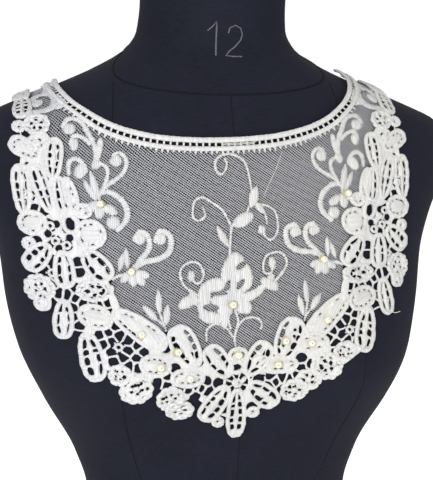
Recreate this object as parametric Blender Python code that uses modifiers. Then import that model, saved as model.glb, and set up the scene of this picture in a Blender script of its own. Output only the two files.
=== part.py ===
"""A guipure lace yoke on a limbless dress form.

The yoke is white machine lace: a net panel with embroidered sprays, a heavy guipure border of petals and
medallions, a ladder heading along the neckline, and sewn pearls. Each of these is a wall that follows the form.

All tables are in millimetres, and MM turns them into Blender's metres. The form faces -Y and stands on z = 0.
The yoke is drawn flat, as across (from its centre line, the viewer's right is plus) and down, and is then worn
on the form. Half tables are drawn for the right and mirrored to the left.
"""
import math

import bmesh
import bpy
import numpy as np
from mathutils import Vector
from mathutils.bvhtree import BVHTree
from mathutils.geometry import delaunay_2d_cdt

MM = 0.001

# Rings of the form, hip to neck: height, half width, front, back, ridge (the widest line's depth), squareness
FORM_RINGS = [
    (0, 168, -112, 118, 0, 2.25),
    (45, 170, -114, 120, 0, 2.25),
    (110, 150, -108, 106, -2, 2.2),
    (165, 116, -98, 78, -8, 2.15),
    (203, 104, -96, 64, -12, 2.1),
    (240, 114, -100, 66, -12, 2.1),
    (285, 138, -110, 84, -6, 2.15),
    (325, 156, -118, 98, 0, 2.2),
    (360, 164, -117, 106, 3, 2.25),
    (395, 168, -112, 110, 6, 2.3),
    (425, 177, -105, 108, 8, 2.3),
    (452, 190, -97, 103, 10, 2.2),
    (476, 195, -89, 97, 12, 2.1),
    (494, 187, -82, 92, 14, 2.05),
    (508, 160, -75, 87, 17, 2.0),
    (523, 122, -68, 82, 20, 2.0),
    (538, 88, -62, 77, 21, 2.0),
    (551, 67, -58, 72, 17, 2.0),
    (565, 58.5, -56, 66, 10, 2.0),
    (587, 56.5, -58, 58, 1, 2.0),
    (620, 57.5, -64, 51, -6, 2.0),
    (655, 60, -71, 46, -12, 2.0),
]
FORM_TOP = 655.0
FORM_FRONT_SEGMENTS, FORM_REAR_SEGMENTS = 26, 10
FINE_LOW, FINE_HIGH = 280.0, 590.0
SHOULDER_LOW, SHOULDER_HIGH = 476.0, 587.0
BUST_ACROSS, BUST_HEIGHT, BUST_OUT, BUST_WIDE, BUST_TALL = 90.0, 316.0, 26.0, 56.0, 44.0

# The chart of the form: down is measured along the surface from this height at the front, up is minus
CHART_HEIGHT = 470.0
CHART_FOOT, CHART_BACK = 230.0, 430.0
CHART_ACROSS = np.arange(-168.0, 169.0, 2.0)
CHART_DOWN = np.arange(-132.0, 240.0, 2.0)

# How the yoke sits: pushed to the viewer's left and turned a little, its left side lower
YOKE_SHIFT = -3.0
YOKE_TURN = math.tan(math.radians(2.2))
YOKE_TIP = 190.0

# Lifts above the form and thicknesses
SEAM, LACE_EASE = 0.3, 0.65
NET_LIFT, NET_THICK = 0.8, 1.0
LACE_LIFT = NET_LIFT + NET_THICK + LACE_EASE
LACE_THICK = 1.8
STITCH_THICK = 1.0
SHELF, SLOPE = 6.0, 8.0
# Spacing of a piece's points, closer where it bends over the shoulders
CLOTH_SPACING, RIDGE_SPACING, RIDGE_DOWN = 13.0, 8.0, -55.0
PEARL_SIZE, PEARL_STEPS = 5.0, 6

# Upper edge of the neckline, centre to strap end: across, down
NECKLINE = [(0, -15.5), (20, -16), (40, -17.8), (57, -21.3), (70, -25.5), (82, -31.5), (92, -40), (100, -50),
            (105, -61), (108, -74), (109, -90), (109, -113)]
# Section of the heading: how far in from the edge, share of the thickness
HEADING_SECTION = [(0, 0.55), (2.2, 1.0), (4.4, 0.45), (6.9, 0.45), (8.8, 0.9), (10.6, 0.45)]
HEADING_STEP = 8.0

# Outer edge of half the net panel, strap end to centre: across, down
NET_EDGE = [(133, -113), (133, -62), (131, -40), (120, -30), (121, -19), (111.5, -13), (111.5, 8), (105, 21),
            (102, 33), (97, 41), (87, 44), (84, 51), (87, 60), (80, 70), (79, 81), (83, 89), (82, 98), (79, 107),
            (70, 109.5), (62, 113), (55, 119), (49, 118.5), (44, 118.5), (37, 121), (33, 130), (28, 134),
            (21, 133.5), (14, 138), (8, 137), (4, 134), (0, 133.5)]

# Guipure petals: side, base across, base down, tip across, tip down, width, slots either side of the vein
PETALS = [
    ("both", 137, -113, 137, -88, 15, 0),
    ("both", 137, -92, 137, -62, 15, 0),
    ("both", 136, -66, 137, -32, 16, 2),
    ("both", 125, -3, 146, -16, 17, 2),
    ("both", 117, 13, 114, -17, 13, 3),
    ("both", 138, 36, 140, 1, 14, 3),
    ("both", 131, 3, 122, 36, 14, 3),
    ("both", 120, 12, 110, 35, 14, 3),
    ("both", 122, 56, 139, 74, 18, 2),
    ("both", 114, 60, 112.5, 87, 15, 3),
    ("both", 99, 61, 83, 82, 19, 2),
    ("both", 129, 88, 129, 103, 13, 0),
    ("both", 114.5, 94, 117, 122, 15, 3),
    ("left", 102, 117, 96, 151, 18, 4),
    ("right", 99, 114, 89, 146, 18, 4),
    ("both", 83, 103, 50, 130, 19, 0),
    ("both", 30, 144, 43.5, 115, 22, 2),
    ("both", 6, 152, 22.5, 130, 19, 2),
    ("left", 8, 158, 26, 186, 19, 2),
    ("right", 7, 158, 28, 177, 19, 2),
    ("right", -1, 161, -1.5, 202, 16, 4),
]
# A petal's width at its base, and its slots: span along it, bar between two, sides and flare, as shares
PETAL_BASE_FULL = 0.62
SLOT_SPAN, SLOT_BAR = (0.2, 0.84), 1.4
SLOT_INNER, SLOT_OUTER, SLOT_FLARE = 0.13, 0.27, 0.02
# Medallions, ovals and picots: side, across, down, length, width, tilt (outer end down, degrees)
ROUNDS = [
    ("both", 139.5, -26, 10, 10, 0),
    ("both", 126.5, -27, 19, 17, 0),
    ("both", 127, -13, 15, 13, 0),
    ("both", 105.5, 23, 26, 10, 105),
    ("both", 101, 37, 14, 12, 0),
    ("both", 133, 41.5, 21, 18, 0),
    ("both", 136, 56, 10, 10, 0),
    ("both", 116, 51, 9, 9, 0),
    ("both", 93.5, 50, 25, 22, 0),
    ("both", 121.5, 76, 11, 11, 0),
    ("both", 93.5, 88.5, 26, 16, 0),
    ("both", 130.5, 87, 21, 20, 0),
    ("both", 94.7, 107, 25, 18, -20),
    ("both", 81, 99, 22, 5.5, 104),
    ("both", 81.5, 128.5, 10, 10, 0),
    ("left", 82, 147, 15, 14, 0),
    ("left", 72, 157, 23, 20, 25),
    ("right", 76, 143, 17, 14, 0),
    ("right", 62, 151, 23, 18, 20),
    ("left", 58.5, 141.5, 22, 16, 0),
    ("right", 54, 134, 23, 15, 0),
    ("left", 36.5, 150.5, 25, 14, 0),
    ("right", 28.5, 146.5, 29, 13, 0),
    ("left", 49, 165, 20, 19, 0),
    ("left", 42.5, 175, 20, 17, 0),
    ("right", 49, 159, 18, 16, 0),
    ("right", 39.5, 166, 20, 17, 0),
    ("right", 0, 139, 14, 18, 90),
    ("right", -1, 157, 19, 18, 0),
    ("left", 14.5, 187.5, 9.5, 9.5, 0),
    ("right", 11, 181.5, 9.5, 9.5, 0),
]
# Plain cut holes beside the motifs: side, across, down, length, width, tilt
EYES = [("both", 107, 42.5, 9, 6.5, 110), ("right", -1.5, 145.7, 7.5, 4.5, 0)]
# Ground of bride bars between the motifs, outer side down, then inner side up: across, down
GROUND = [(136, -60), (139, -25), (138, -12), (140, 10), (140, 30), (136, 45), (134, 58), (136, 72), (128, 86),
          (116, 100), (116, 112), (104, 118), (96, 140), (86, 146), (74, 152), (62, 152), (50, 162), (40, 168),
          (33, 163), (24, 172), (14, 181), (-2, 190), (-2, 142), (20, 138), (36, 126), (46, 122), (60, 120),
          (76, 108), (84, 92), (88, 78), (96, 62), (94, 50), (102, 38), (106, 24), (114, 10), (114, -12),
          (124, -26), (130, -40), (133, -60)]
# Gaps between the bride bars: across, down of each gap's middle
BRIDE_GAPS = [
    (134, -21), (136.5, -33.5), (131, 32.5), (125.5, 34), (122.5, 41), (117, 42.5), (110.5, 46), (108.5, 52),
    (110, 58), (116, 59), (121.5, 56.5), (123, 49), (131, 54.5), (122, 67), (127.5, 77), (126, 84), (121.5, 84),
    (118, 80), (104, 69), (103.5, 75), (118, 89.5), (112, 90.5), (107, 86.5), (107, 93), (110, 100), (109.5, 107),
    (102, 96.5), (96, 97.5), (91, 98.5), (86, 97), (84, 105), (82.5, 114), (80.5, 120.5), (74.5, 124), (69, 127.5),
    (75.5, 131), (66, 132), (70, 136.5), (79, 136), (70, 142), (76, 141), (86, 131), (87.5, 118), (92.5, 119.5),
    (90.5, 125.5), (86, 124), (85, 138), (106, 112.5), (107.5, 119), (50.5, 129), (45, 144), (51, 149), (45, 150),
    (57, 152.5), (52, 154), (41.5, 156), (36, 158), (31, 156), (26.5, 158), (31.5, 164), (22, 161), (14.5, 156),
    (10, 177), (28.5, 139), (23.5, 154),
]
BRIDE_BAR, BRIDE_REACH = 1.2, 4.2
SMALLEST_GAP = 7.0

# Shoulder scroll, drawn for the right strap. Strokes: width and points; leaves: across, down, length, width, tilt
SHOULDER = (
    [(5, [(125, -40), (118, -38), (113.5, -45), (113.5, -53), (118, -59), (124, -61)])],
    [(118, -72, 26, 7, 80)],
)
UPPER_SPRAY = (
    [
        (4, [(109, -25), (104.5, -31), (96.5, -29), (91.5, -20), (87.5, -10), (87, 0)]),
        (3.4, [(104, -12), (101.5, -18), (95.5, -17), (91, -13)]),
        (3.6, [(83.5, -16), (84.5, -9), (87, 0)]),
        (3, [(86, 1), (80.5, 4), (80, 10.5), (84, 20)]),
        (3.2, [(75.5, -4), (71.5, -6), (67.5, -3), (66.5, 2), (69, 8), (74, 12.5), (81.5, 17.5), (87, 24)]),
        (3.4, [(106, 9), (105.5, 1), (101, -2), (96, 2), (92.5, 8.5), (90, 15), (89, 26)]),
        (4.2, [(86, 22), (80, 21.5), (74, 25), (70, 30), (68.5, 37), (71, 43), (75.5, 47)]),
        (3, [(88, 28), (95, 31), (98, 32)]),
    ],
    [(104.5, -23.5, 9, 8.5, 0), (101.5, -12.5, 7, 6, 0), (87, 2, 9, 7, 60), (73, -1, 11, 9, 80), (98, 6.5, 12, 9, 60),
     (89, 29, 16, 14, 0), (78.5, 42.5, 11, 10, 0), (85, 36, 12, 8, 150)],
)
LOWER_SPRAY = (
    [
        (4, [(65, 55), (61.5, 49.5), (56.5, 51.5), (55, 57.5), (57, 63), (62.5, 69), (67, 75)]),
        (4.4, [(51, 56), (47.5, 49.5), (41.5, 52), (40.5, 58), (43, 64.5), (50.5, 68.5), (59.5, 70), (67, 74)]),
        (2.6, [(70, 79), (76, 78.5), (81, 80.5)]),
    ],
    [(61, 53.5, 12, 11, 90), (48, 54.5, 12, 11, 90), (71, 67, 15, 5, 92), (74.5, 69, 13, 5, 75),
     (68, 79, 18, 11, 0), (62, 82, 13, 7, 140)],
)
LEAF_TRIO = (
    [(1.8, [(52, 106), (50.5, 112), (49, 118)]), (1.8, [(54, 110.5), (50.5, 114)])],
    [(52, 98, 18, 4.6, 88), (47.5, 107, 15, 5, 80), (58.5, 105.5, 15, 5.4, 128)],
)
CENTRE_SPRAY = (
    [
        (2, [(2, 0), (3, 4), (1, 9), (-2, 11), (-5, 8), (-5, 2), (-1.5, -2), (4.5, -3.6), (10.5, -2), (15.5, 2),
             (17.5, 8.5), (18.5, 17.5), (19, 25)]),
        (1.8, [(19, 33), (28, 34.5), (34, 39), (35.5, 46), (34.5, 54), (30, 59), (26, 57), (24, 52)]),
        (3, [(22, 33), (26, 38), (27.5, 44), (27.5, 48)]),
        (2, [(16, 34), (13, 41), (7.5, 45), (2.5, 48), (1, 55), (-0.5, 65), (-1, 72)]),
        (2, [(2, 48), (-3, 37), (-10, 31), (-16.5, 27), (-22, 29.5), (-24, 36.5), (-23.5, 41.5), (-19.5, 43),
             (-15.5, 39.5), (-17, 33.5)]),
        (2, [(-24, 95), (-33, 88.5), (-36, 80.5), (-34.5, 75), (-28.5, 71.5), (-22.5, 73), (-20, 79.5), (-22, 85),
             (-26, 86), (-28, 81)]),
        (2, [(28, 90), (35, 83.5), (39.5, 76.5), (37.5, 70), (32.5, 68), (25.5, 70), (22.5, 76), (23, 82), (28, 82),
             (29, 77)]),
        (4, [(4, 97), (13.5, 95.5), (20, 92), (27, 89)]),
        (1.8, [(-21.5, 126), (-21, 119), (-16, 115), (-11, 115.5), (-6, 119), (-3, 124)]),
        (1.8, [(-1, 124), (1, 118), (6, 113), (12, 112), (17, 114), (18.5, 118), (17, 121)]),
        (2.2, [(-6, 110), (-4, 118)]),
        (2.6, [(-28, 98), (-16, 98)]),
    ],
    [(20, 28, 17, 7, 110), (11, 44, 17, 9, 153), (-4.5, 55, 17, 5.5, 65), (23.8, 51.5, 7, 6, 90), (1.5, 77, 29, 13, 118),
     (9.5, 84, 20, 13, 90), (-11, 90, 20, 12, 0), (-14.5, 104, 20, 16, 0), (-5, 111, 15, 10, 90),
     (8, 104, 16, 12, 90), (-1, 96, 20, 17, 0), (-30, 97, 16, 9, 130), (-28.5, 81, 8, 5.5, 90),
     (29, 75.5, 9.5, 5.5, 90), (29, 91, 13, 9, 70)],
)
CENTRE_SLOTS = [(7, 75.5, 8, 3.4, 130), (5.5, 89, 6, 2.6, 130), (-6.5, 88.5, 6.5, 2.6, 115), (-10, 94, 8, 2.4, 0),
                (-15, 104, 8, 3.2, 10)]

# Pearls: across, down, the piece that each is sewn on
PEARLS = [
    (-85.5, 30, "spray_upper_left"), (89.5, 29.5, "spray_upper_right"),
    (-68, 76.5, "spray_lower_left"), (66, 76, "spray_lower_right"), (-1.5, 102.5, "spray_centre"),
    (-65.5, 121, "guipure_border"), (64.5, 120, "guipure_border"), (-43, 133, "guipure_border"),
    (34.5, 130.5, "guipure_border"), (-55.5, 143, "guipure_border"), (52.5, 134.5, "guipure_border"),
    (-36, 150.5, "guipure_border"), (28.5, 146, "guipure_border"), (0, 137, "guipure_border"),
]


def smooth_column(at, column):
    """One column of FORM_RINGS at any height, as a monotone cubic that never bulges past its own rows."""
    rows = np.array(FORM_RINGS, float)
    heights, values = rows[:, 0], rows[:, column]
    step = np.diff(heights)
    slope = np.diff(values) / step
    tangent = np.zeros(len(values))
    tangent[0], tangent[-1] = slope[0], slope[-1]
    for i in range(1, len(values) - 1):
        if slope[i - 1] * slope[i] > 0:
            near, far = 2 * step[i] + step[i - 1], step[i] + 2 * step[i - 1]
            tangent[i] = (near + far) / (near / slope[i - 1] + far / slope[i])
    i = np.clip(np.searchsorted(heights, at) - 1, 0, len(step) - 1)
    t = (np.clip(at, 0, FORM_TOP) - heights[i]) / step[i]
    return ((1 + 2 * t) * (1 - t) ** 2 * values[i] + t * (1 - t) ** 2 * step[i] * tangent[i]
            + t * t * (3 - 2 * t) * values[i + 1] + t * t * (t - 1) * step[i] * tangent[i + 1])


def form_depth(across, height, side):
    """Depth (y) of the form's front (side -1) or back (side 1) at a place seen from the front."""
    half, front, back, ridge, square = (smooth_column(height, k) for k in range(1, 6))
    out = np.clip(np.abs(across) / half, 0, 1)
    arc = (1 - out ** square) ** (1 / square)
    if side > 0:
        return ridge + (back - ridge) * arc
    swell = sum(np.exp(-((across - s * BUST_ACROSS) / BUST_WIDE) ** 2 - ((height - BUST_HEIGHT) / BUST_TALL) ** 2)
                for s in (-1, 1))
    facing = np.minimum(1, 2.5 * np.sqrt(1 - out ** square))
    return ridge - (ridge - front) * arc - BUST_OUT * swell * facing


def chart_line(across):
    """Depth and height along the form, for one distance across, at each step of CHART_DOWN."""
    climb = np.linspace(SHOULDER_LOW, SHOULDER_HIGH, 800)
    widths = smooth_column(climb, 1)
    top = np.interp(-abs(across), -widths, climb) if abs(across) > widths.min() else SHOULDER_HIGH
    share = np.linspace(1, 0, 150)
    heights = top - (top - CHART_FOOT) * share ** 2
    depths = form_depth(across, heights, -1)
    reference = len(heights)
    if top < SHOULDER_HIGH:
        behind = top - (top - CHART_BACK) * share[::-1][1:] ** 2
        depths = np.append(depths, form_depth(across, behind, 1))
        heights = np.append(heights, behind)
    length = np.append(0, np.cumsum(np.hypot(np.diff(heights), np.diff(depths))))
    down = np.interp(CHART_HEIGHT, heights[:reference], length[:reference]) - length
    order = np.argsort(down)
    return np.stack([np.interp(CHART_DOWN, down[order], depths[order]),
                     np.interp(CHART_DOWN, down[order], heights[order])], 1)


CHART = np.array([chart_line(across) for across in CHART_ACROSS])


def on_chart(across, down):
    """A point of the form's surface, read from the chart between its steps."""
    i = np.clip((across - CHART_ACROSS[0]) / 2.0, 0, len(CHART_ACROSS) - 1.001)
    j = np.clip((down - CHART_DOWN[0]) / 2.0, 0, len(CHART_DOWN) - 1.001)
    i0, j0 = i.astype(int), j.astype(int)
    fi, fj = (i - i0)[:, None], (j - j0)[:, None]
    side = ((1 - fi) * (1 - fj) * CHART[i0, j0] + fi * (1 - fj) * CHART[i0 + 1, j0]
            + (1 - fi) * fj * CHART[i0, j0 + 1] + fi * fj * CHART[i0 + 1, j0 + 1])
    return np.column_stack([across, side])


def worn(points, lift):
    """Points of the flat pattern as they lie on the form, lifted off it along its normal."""
    across, down = np.asarray(points, float).T
    hang = np.clip((down + 60) / 150, 0.2, 1)
    x = across + YOKE_SHIFT - (YOKE_TIP - np.maximum(down, 0)) * YOKE_TURN
    v = down - across * YOKE_TURN * hang
    reach = 2.5
    along = on_chart(x + reach, v) - on_chart(x - reach, v)
    fall = on_chart(x, v + reach) - on_chart(x, v - reach)
    normal = np.cross(fall, along)
    normal /= np.linalg.norm(normal, axis=1)[:, None]
    return on_chart(x, v) + normal * np.asarray(lift, float).reshape(-1, 1), normal


def mirrored(outline):
    """The same outline on the other side of the centre line."""
    return [(-across, down) for across, down in outline]


def smooth_path(points, step):
    """A smooth curve through hand-placed points, read every step or so (Catmull-Rom)."""
    pts = np.array([points[0]] + list(points) + [points[-1]], float)
    path = []
    for a, b, c, d in zip(pts, pts[1:], pts[2:], pts[3:]):
        for t in np.linspace(0, 1, max(1, round(np.hypot(*(c - b)) / step)), endpoint=False):
            path.append(0.5 * (2 * b + (c - a) * t + (2 * a - 5 * b + 4 * c - d) * t ** 2
                               + (3 * b - a - 3 * c + d) * t ** 3))
    return np.array(path + [pts[-1]])


def offset_path(path, distance):
    """The path moved sideways, plus is to its left as it is drawn with down pointing down."""
    run = np.gradient(path, axis=0)
    run /= np.linalg.norm(run, axis=1)[:, None]
    return path + np.column_stack([run[:, 1], -run[:, 0]]) * distance


def round_outline(across, down, length, width, tilt, points=12):
    """An oval with its long axis turned by tilt."""
    turn = math.radians(tilt)
    outline = []
    for k in range(points):
        angle = 2 * math.pi * k / points
        along, side = length / 2 * math.cos(angle), width / 2 * math.sin(angle)
        outline.append((across + along * math.cos(turn) - side * math.sin(turn),
                        down + along * math.sin(turn) + side * math.cos(turn)))
    return outline


def petal_frame(base, tip):
    """Turns shares along a petal and distances beside its vein into pattern places."""
    base, run = np.array(base, float), np.subtract(tip, base)
    beside = np.array([-run[1], run[0]]) / np.hypot(*run)
    return lambda share, off: tuple(base + run * share + beside * off)


def petal_outline(base, tip, width, grow=0.0, points=14):
    """A petal, narrow at its base and full towards its tip."""
    place = petal_frame(base, tip)
    length = math.dist(base, tip)
    outline = []
    for k in range(points):
        angle = 2 * math.pi * k / points
        share = (1 - math.cos(angle)) / 2
        full = PETAL_BASE_FULL + (1 - PETAL_BASE_FULL) * share ** 0.6
        outline.append(place(share + grow / length * (2 * share - 1), math.sin(angle) * (width / 2 * full + grow)))
    return outline


def petal_slots(base, tip, width, count):
    """The slots either side of a petal's vein, parted by short bars."""
    place = petal_frame(base, tip)
    first, last = SLOT_SPAN
    bar = SLOT_BAR / math.dist(base, tip)
    step = (last - first) / max(count, 1)
    slots = []
    for side in (-1, 1):
        for k in range(count):
            start, end = first + k * step, first + (k + 1) * step - bar
            slots.append([place(start, side * width * SLOT_INNER), place(start, side * width * SLOT_OUTER),
                          place(end, side * width * (SLOT_OUTER + SLOT_FLARE)),
                          place(end, side * width * (SLOT_INNER + SLOT_FLARE))])
    return slots


def stroke_outlines(width, points):
    """A satin-stitched line as short overlapping pieces with round ends."""
    path = smooth_path(points, 5.0)
    left, right = offset_path(path, width / 2), offset_path(path, -width / 2)
    pieces = [[left[i], left[i + 1], right[i + 1], right[i]] for i in range(len(path) - 1)]
    pieces += [round_outline(*path[k], width, width, 0, 6) for k in (0, -1)]
    return pieces


def area(outline):
    """Signed area of an outline."""
    x, y = np.asarray(outline, float).T
    return 0.5 * float(np.dot(x, np.roll(y, -1)) - np.dot(y, np.roll(x, -1)))


def triangulated(outlines, loose=()):
    """Triangles inside flat outlines, each with the set of outlines that hold it."""
    points, faces = [], []
    for outline in outlines:
        turned = outline if area(outline) > 0 else outline[::-1]
        faces.append(list(range(len(points), len(points) + len(turned))))
        points += [Vector((float(p[0]), float(p[1]))) for p in turned]
    points += [Vector((float(p[0]), float(p[1]))) for p in loose]
    corners, _, triangles, _, _, owners = delaunay_2d_cdt(points, [], faces, 1, 1e-4)
    return [tuple(c) for c in corners], triangles, [set(o) for o in owners]


def boundary_loops(corners, triangles):
    """Loops round a set of triangles. Where two loops touch, each goes round its own side."""
    edges = {(t[i], t[(i + 1) % 3]) for t in triangles for i in range(3)}
    onward = {}
    for a, b in edges:
        if (b, a) not in edges:
            onward.setdefault(a, []).append(b)
    loops = []
    while onward:
        start = next(iter(onward))
        loop, previous, here = [start], None, start
        while True:
            choices = onward[here]
            if previous is not None and len(choices) > 1:
                back = math.atan2(corners[previous][1] - corners[here][1], corners[previous][0] - corners[here][0])
                choices.sort(key=lambda c: (back - math.atan2(corners[c][1] - corners[here][1],
                                                              corners[c][0] - corners[here][0])) % (2 * math.pi))
            following = choices.pop(0)
            if not choices:
                del onward[here]
            previous, here = here, following
            if here == start:
                break
            loop.append(here)
        loops.append([corners[k] for k in loop])
    return loops


def simplified(loop, tolerance):
    """Drops the corners that matter least to a loop's shape."""
    loop = list(loop)
    while len(loop) > 4:
        bends = [abs(area([loop[i - 1], loop[i], loop[(i + 1) % len(loop)]])) for i in range(len(loop))]
        least = int(np.argmin(bends))
        if bends[least] > tolerance:
            break
        loop.pop(least)
    return loop


def drawn_in(loop, share=0.95):
    """A gap drawn in a little towards its middle, so that no two gaps touch at a corner."""
    middle = np.mean(loop, axis=0)
    return [tuple(middle + (np.array(p) - middle) * share) for p in loop]


def one_piece(solids, holes=(), ground=(), cells=(), tolerance=1.1):
    """Overlapping outlines joined into one flat piece: its outer loop, then the loops of its gaps.

    Holes cut everything. Cells cut only the ground, so the motifs on it stay whole.
    """
    corners, triangles, owners = triangulated([*solids, *holes, *ground, *cells])
    first_hole, first_ground = len(solids), len(solids) + len(holes)
    first_cell = first_ground + len(ground)
    kept = []
    for triangle, held in zip(triangles, owners):
        in_motif = any(k < first_hole for k in held)
        in_hole = any(first_hole <= k < first_ground for k in held)
        in_ground = any(first_ground <= k < first_cell for k in held)
        in_cell = any(k >= first_cell for k in held)
        if not in_hole and (in_motif or (in_ground and not in_cell)):
            kept.append(triangle)
    loops = boundary_loops(corners, kept)
    outer = simplified(max(loops, key=area), tolerance)
    gaps = [simplified(loop, tolerance) for loop in loops if area(loop) < -SMALLEST_GAP]
    return [outer] + [drawn_in(gap) for gap in gaps]


def inside(points, outline):
    """Which points lie inside an outline."""
    x, y = np.asarray(points, float).T
    hit = np.zeros(len(x), bool)
    for (x0, y0), (x1, y1) in zip(outline, outline[1:] + outline[:1]):
        crosses = (y0 > y) != (y1 > y)
        hit ^= crosses & (x < (x1 - x0) * (y - y0) / (y1 - y0 + 1e-12) + x0)
    return hit


def distance_to(points, outline):
    """Distance from each point to the nearest edge of an outline."""
    points = np.asarray(points, float)
    nearest = np.full(len(points), np.inf)
    for a, b in zip(outline, outline[1:] + outline[:1]):
        a, run = np.array(a, float), np.subtract(b, a)
        t = np.clip((points - a) @ run / (run @ run), 0, 1)
        nearest = np.minimum(nearest, np.linalg.norm(points - a - t[:, None] * run, axis=1))
    return nearest


def divided(loop, spacing):
    """The same loop with its long sides cut up, closer together over the shoulders."""
    path = []
    for here, there in zip(loop, [*loop[1:], loop[0]]):
        far = RIDGE_SPACING if min(here[1], there[1]) < RIDGE_DOWN else spacing
        parts = max(1, math.ceil(math.dist(here, there) / far))
        path += [tuple(np.array(here) + (np.array(there) - here) * k / parts) for k in range(parts)]
    return path


def filling_points(loops, spacing, clear):
    """Points inside a piece, on a triangular grid, so that its faces can follow the form."""
    low, high = np.min(loops[0], axis=0), np.max(loops[0], axis=0)
    grid = []
    row, down = 0, low[1]
    while down < high[1]:
        step = RIDGE_SPACING if down < RIDGE_DOWN else spacing
        grid += [(low[0] + step * (i + 0.5 * (row % 2)), down) for i in range(int((high[0] - low[0]) / step) + 1)]
        row += 1
        down += step * 0.87
    keep = inside(grid, loops[0])
    for loop in loops:
        keep &= distance_to(grid, loop) > clear
    for loop in loops[1:]:
        keep &= ~inside(grid, loop)
    return [p for p, k in zip(grid, keep) if k]


def material(name, colour, roughness):
    """A plain Principled finish."""
    finish = bpy.data.materials.new(name)
    finish.use_nodes = True
    shader = finish.node_tree.nodes["Principled BSDF"]
    shader.inputs["Base Color"].default_value = (*colour, 1)
    shader.inputs["Roughness"].default_value = roughness
    return finish


def add_object(name, mesh, finish):
    """A named object in the part's collection."""
    mesh.name = name
    mesh.materials.append(finish)
    mesh.shade_smooth()
    mesh.set_sharp_from_angle(angle=math.radians(40))
    obj = bpy.data.objects.new(name, mesh)
    PART.objects.link(obj)
    return obj


def mesh_from(points, faces):
    """A mesh from points in millimetres."""
    mesh = bpy.data.meshes.new("mesh")
    mesh.from_pydata([tuple(float(c) * MM for c in p) for p in points], [], faces)
    mesh.update()
    return mesh


def add_cloth(name, loops, lift, thick, finish, spacing=CLOTH_SPACING):
    """A flat piece of lace worn on the form: an open face just above it, and Solidify for the wall."""
    loops = [divided(loop, spacing) for loop in loops]
    corners, triangles, owners = triangulated(loops, filling_points(loops, spacing, spacing * 0.35))
    kept = [t for t, held in zip(triangles, owners) if held == {0}]
    used = sorted({k for t in kept for k in t})
    index = {k: n for n, k in enumerate(used)}
    flat = [corners[k] for k in used]
    points, _ = worn(flat, lift(flat) if callable(lift) else lift)
    # down runs against the height, so a triangle drawn this way round faces out once it is turned
    faces = [[index[t[0]], index[t[2]], index[t[1]]] for t in kept]
    obj = add_object(name, mesh_from(points, faces), finish)
    wall = obj.modifiers.new("wall", "SOLIDIFY")
    wall.thickness = thick * MM
    wall.offset = 1.0
    wall.use_even_offset = False
    return obj


def dress_form():
    """The limbless form: rings lofted from the hip to the top of the neck, flat at both ends."""
    heights = [0.0]
    for lower, upper in zip(FORM_RINGS, FORM_RINGS[1:]):
        most = 15.0 if lower[0] >= FINE_LOW and upper[0] <= FINE_HIGH else 35.0
        parts = math.ceil((upper[0] - lower[0]) / most)
        heights += [lower[0] + (upper[0] - lower[0]) * k / parts for k in range(1, parts + 1)]
    turns = [(k / FORM_FRONT_SEGMENTS - 0.5, -1) for k in range(FORM_FRONT_SEGMENTS)]
    turns += [(k / FORM_REAR_SEGMENTS + 0.5, 1) for k in range(FORM_REAR_SEGMENTS)]
    points = []
    for height in heights:
        half, square = (float(smooth_column(height, k)) for k in (1, 5))
        for turn, side in turns:
            s = math.sin(math.pi * turn)
            x = half * math.copysign(abs(s) ** (2 / square), s)
            points.append((x, float(form_depth(x, height, side)), height))
    n = len(turns)
    faces = [[r * n + k, r * n + (k + 1) % n, (r + 1) * n + (k + 1) % n, (r + 1) * n + k]
             for r in range(len(heights) - 1) for k in range(n)]
    faces.append(list(range(n))[::-1])
    faces.append([(len(heights) - 1) * n + k for k in range(n)])
    return add_object("dress_form", mesh_from(points, faces), JERSEY)


def heading_path():
    """The neckline's upper edge from the left strap's end to the right one's."""
    half = smooth_path(NECKLINE, HEADING_STEP)
    return np.vstack([half[::-1] * (-1, 1), half[1:]])


def heading_outline(grow=0.0):
    """The heading's band seen flat."""
    path = heading_path()
    upper, lower = offset_path(path, grow), offset_path(path, -HEADING_SECTION[-1][0] - grow)
    return [tuple(p) for p in upper] + [tuple(p) for p in lower[::-1]]


def neckline_heading():
    """The ladder edging: two rounded cords with a sunk row between them, over a plain inside."""
    path = heading_path()
    section = [(HEADING_SECTION[0][0], 0.0), *HEADING_SECTION, (HEADING_SECTION[-1][0], 0.0)]
    rails = [worn(offset_path(path, -inward), np.full(len(path), LACE_LIFT + share * LACE_THICK))[0]
             for inward, share in section]
    sides, stations = len(rails), len(path)
    points = [rails[k][i] for i in range(stations) for k in range(sides)]
    faces = [[i * sides + k, i * sides + (k + 1) % sides, (i + 1) * sides + (k + 1) % sides, (i + 1) * sides + k]
             for i in range(stations - 1) for k in range(sides)]
    faces += [list(range(sides))[::-1], [(stations - 1) * sides + k for k in range(sides)]]
    return add_object("neckline_heading", mesh_from(points, faces), COTTON)


def net_outline():
    """The net panel seen flat: it runs under the heading and the border's inner edge."""
    tucked = offset_path(heading_path(), -HEADING_SECTION[1][0])
    edge = mirrored(NET_EDGE) + NET_EDGE[::-1][1:]
    return [tuple(p) for p in tucked] + [(float(x), float(y)) for x, y in edge[::-1]]


def both_sides(rows, draw):
    """Draws each row of a half table on the side or sides that its first column names."""
    outlines = []
    for side, *row in rows:
        drawn = draw(*row)
        if side in ("right", "both"):
            outlines += drawn
        if side in ("left", "both"):
            outlines += [mirrored(outline) for outline in drawn]
    return outlines


def border_motifs(grow=0.0):
    """Every petal, medallion, oval and picot of the border."""
    petals = both_sides(PETALS, lambda ba, bd, ta, td, width, slots:
                        [petal_outline((ba, bd), (ta, td), width, grow)])
    rounds = both_sides(ROUNDS, lambda across, down, length, width, tilt:
                        [round_outline(across, down, length + 2 * grow, width + 2 * grow, tilt)])
    return petals + rounds


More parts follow.
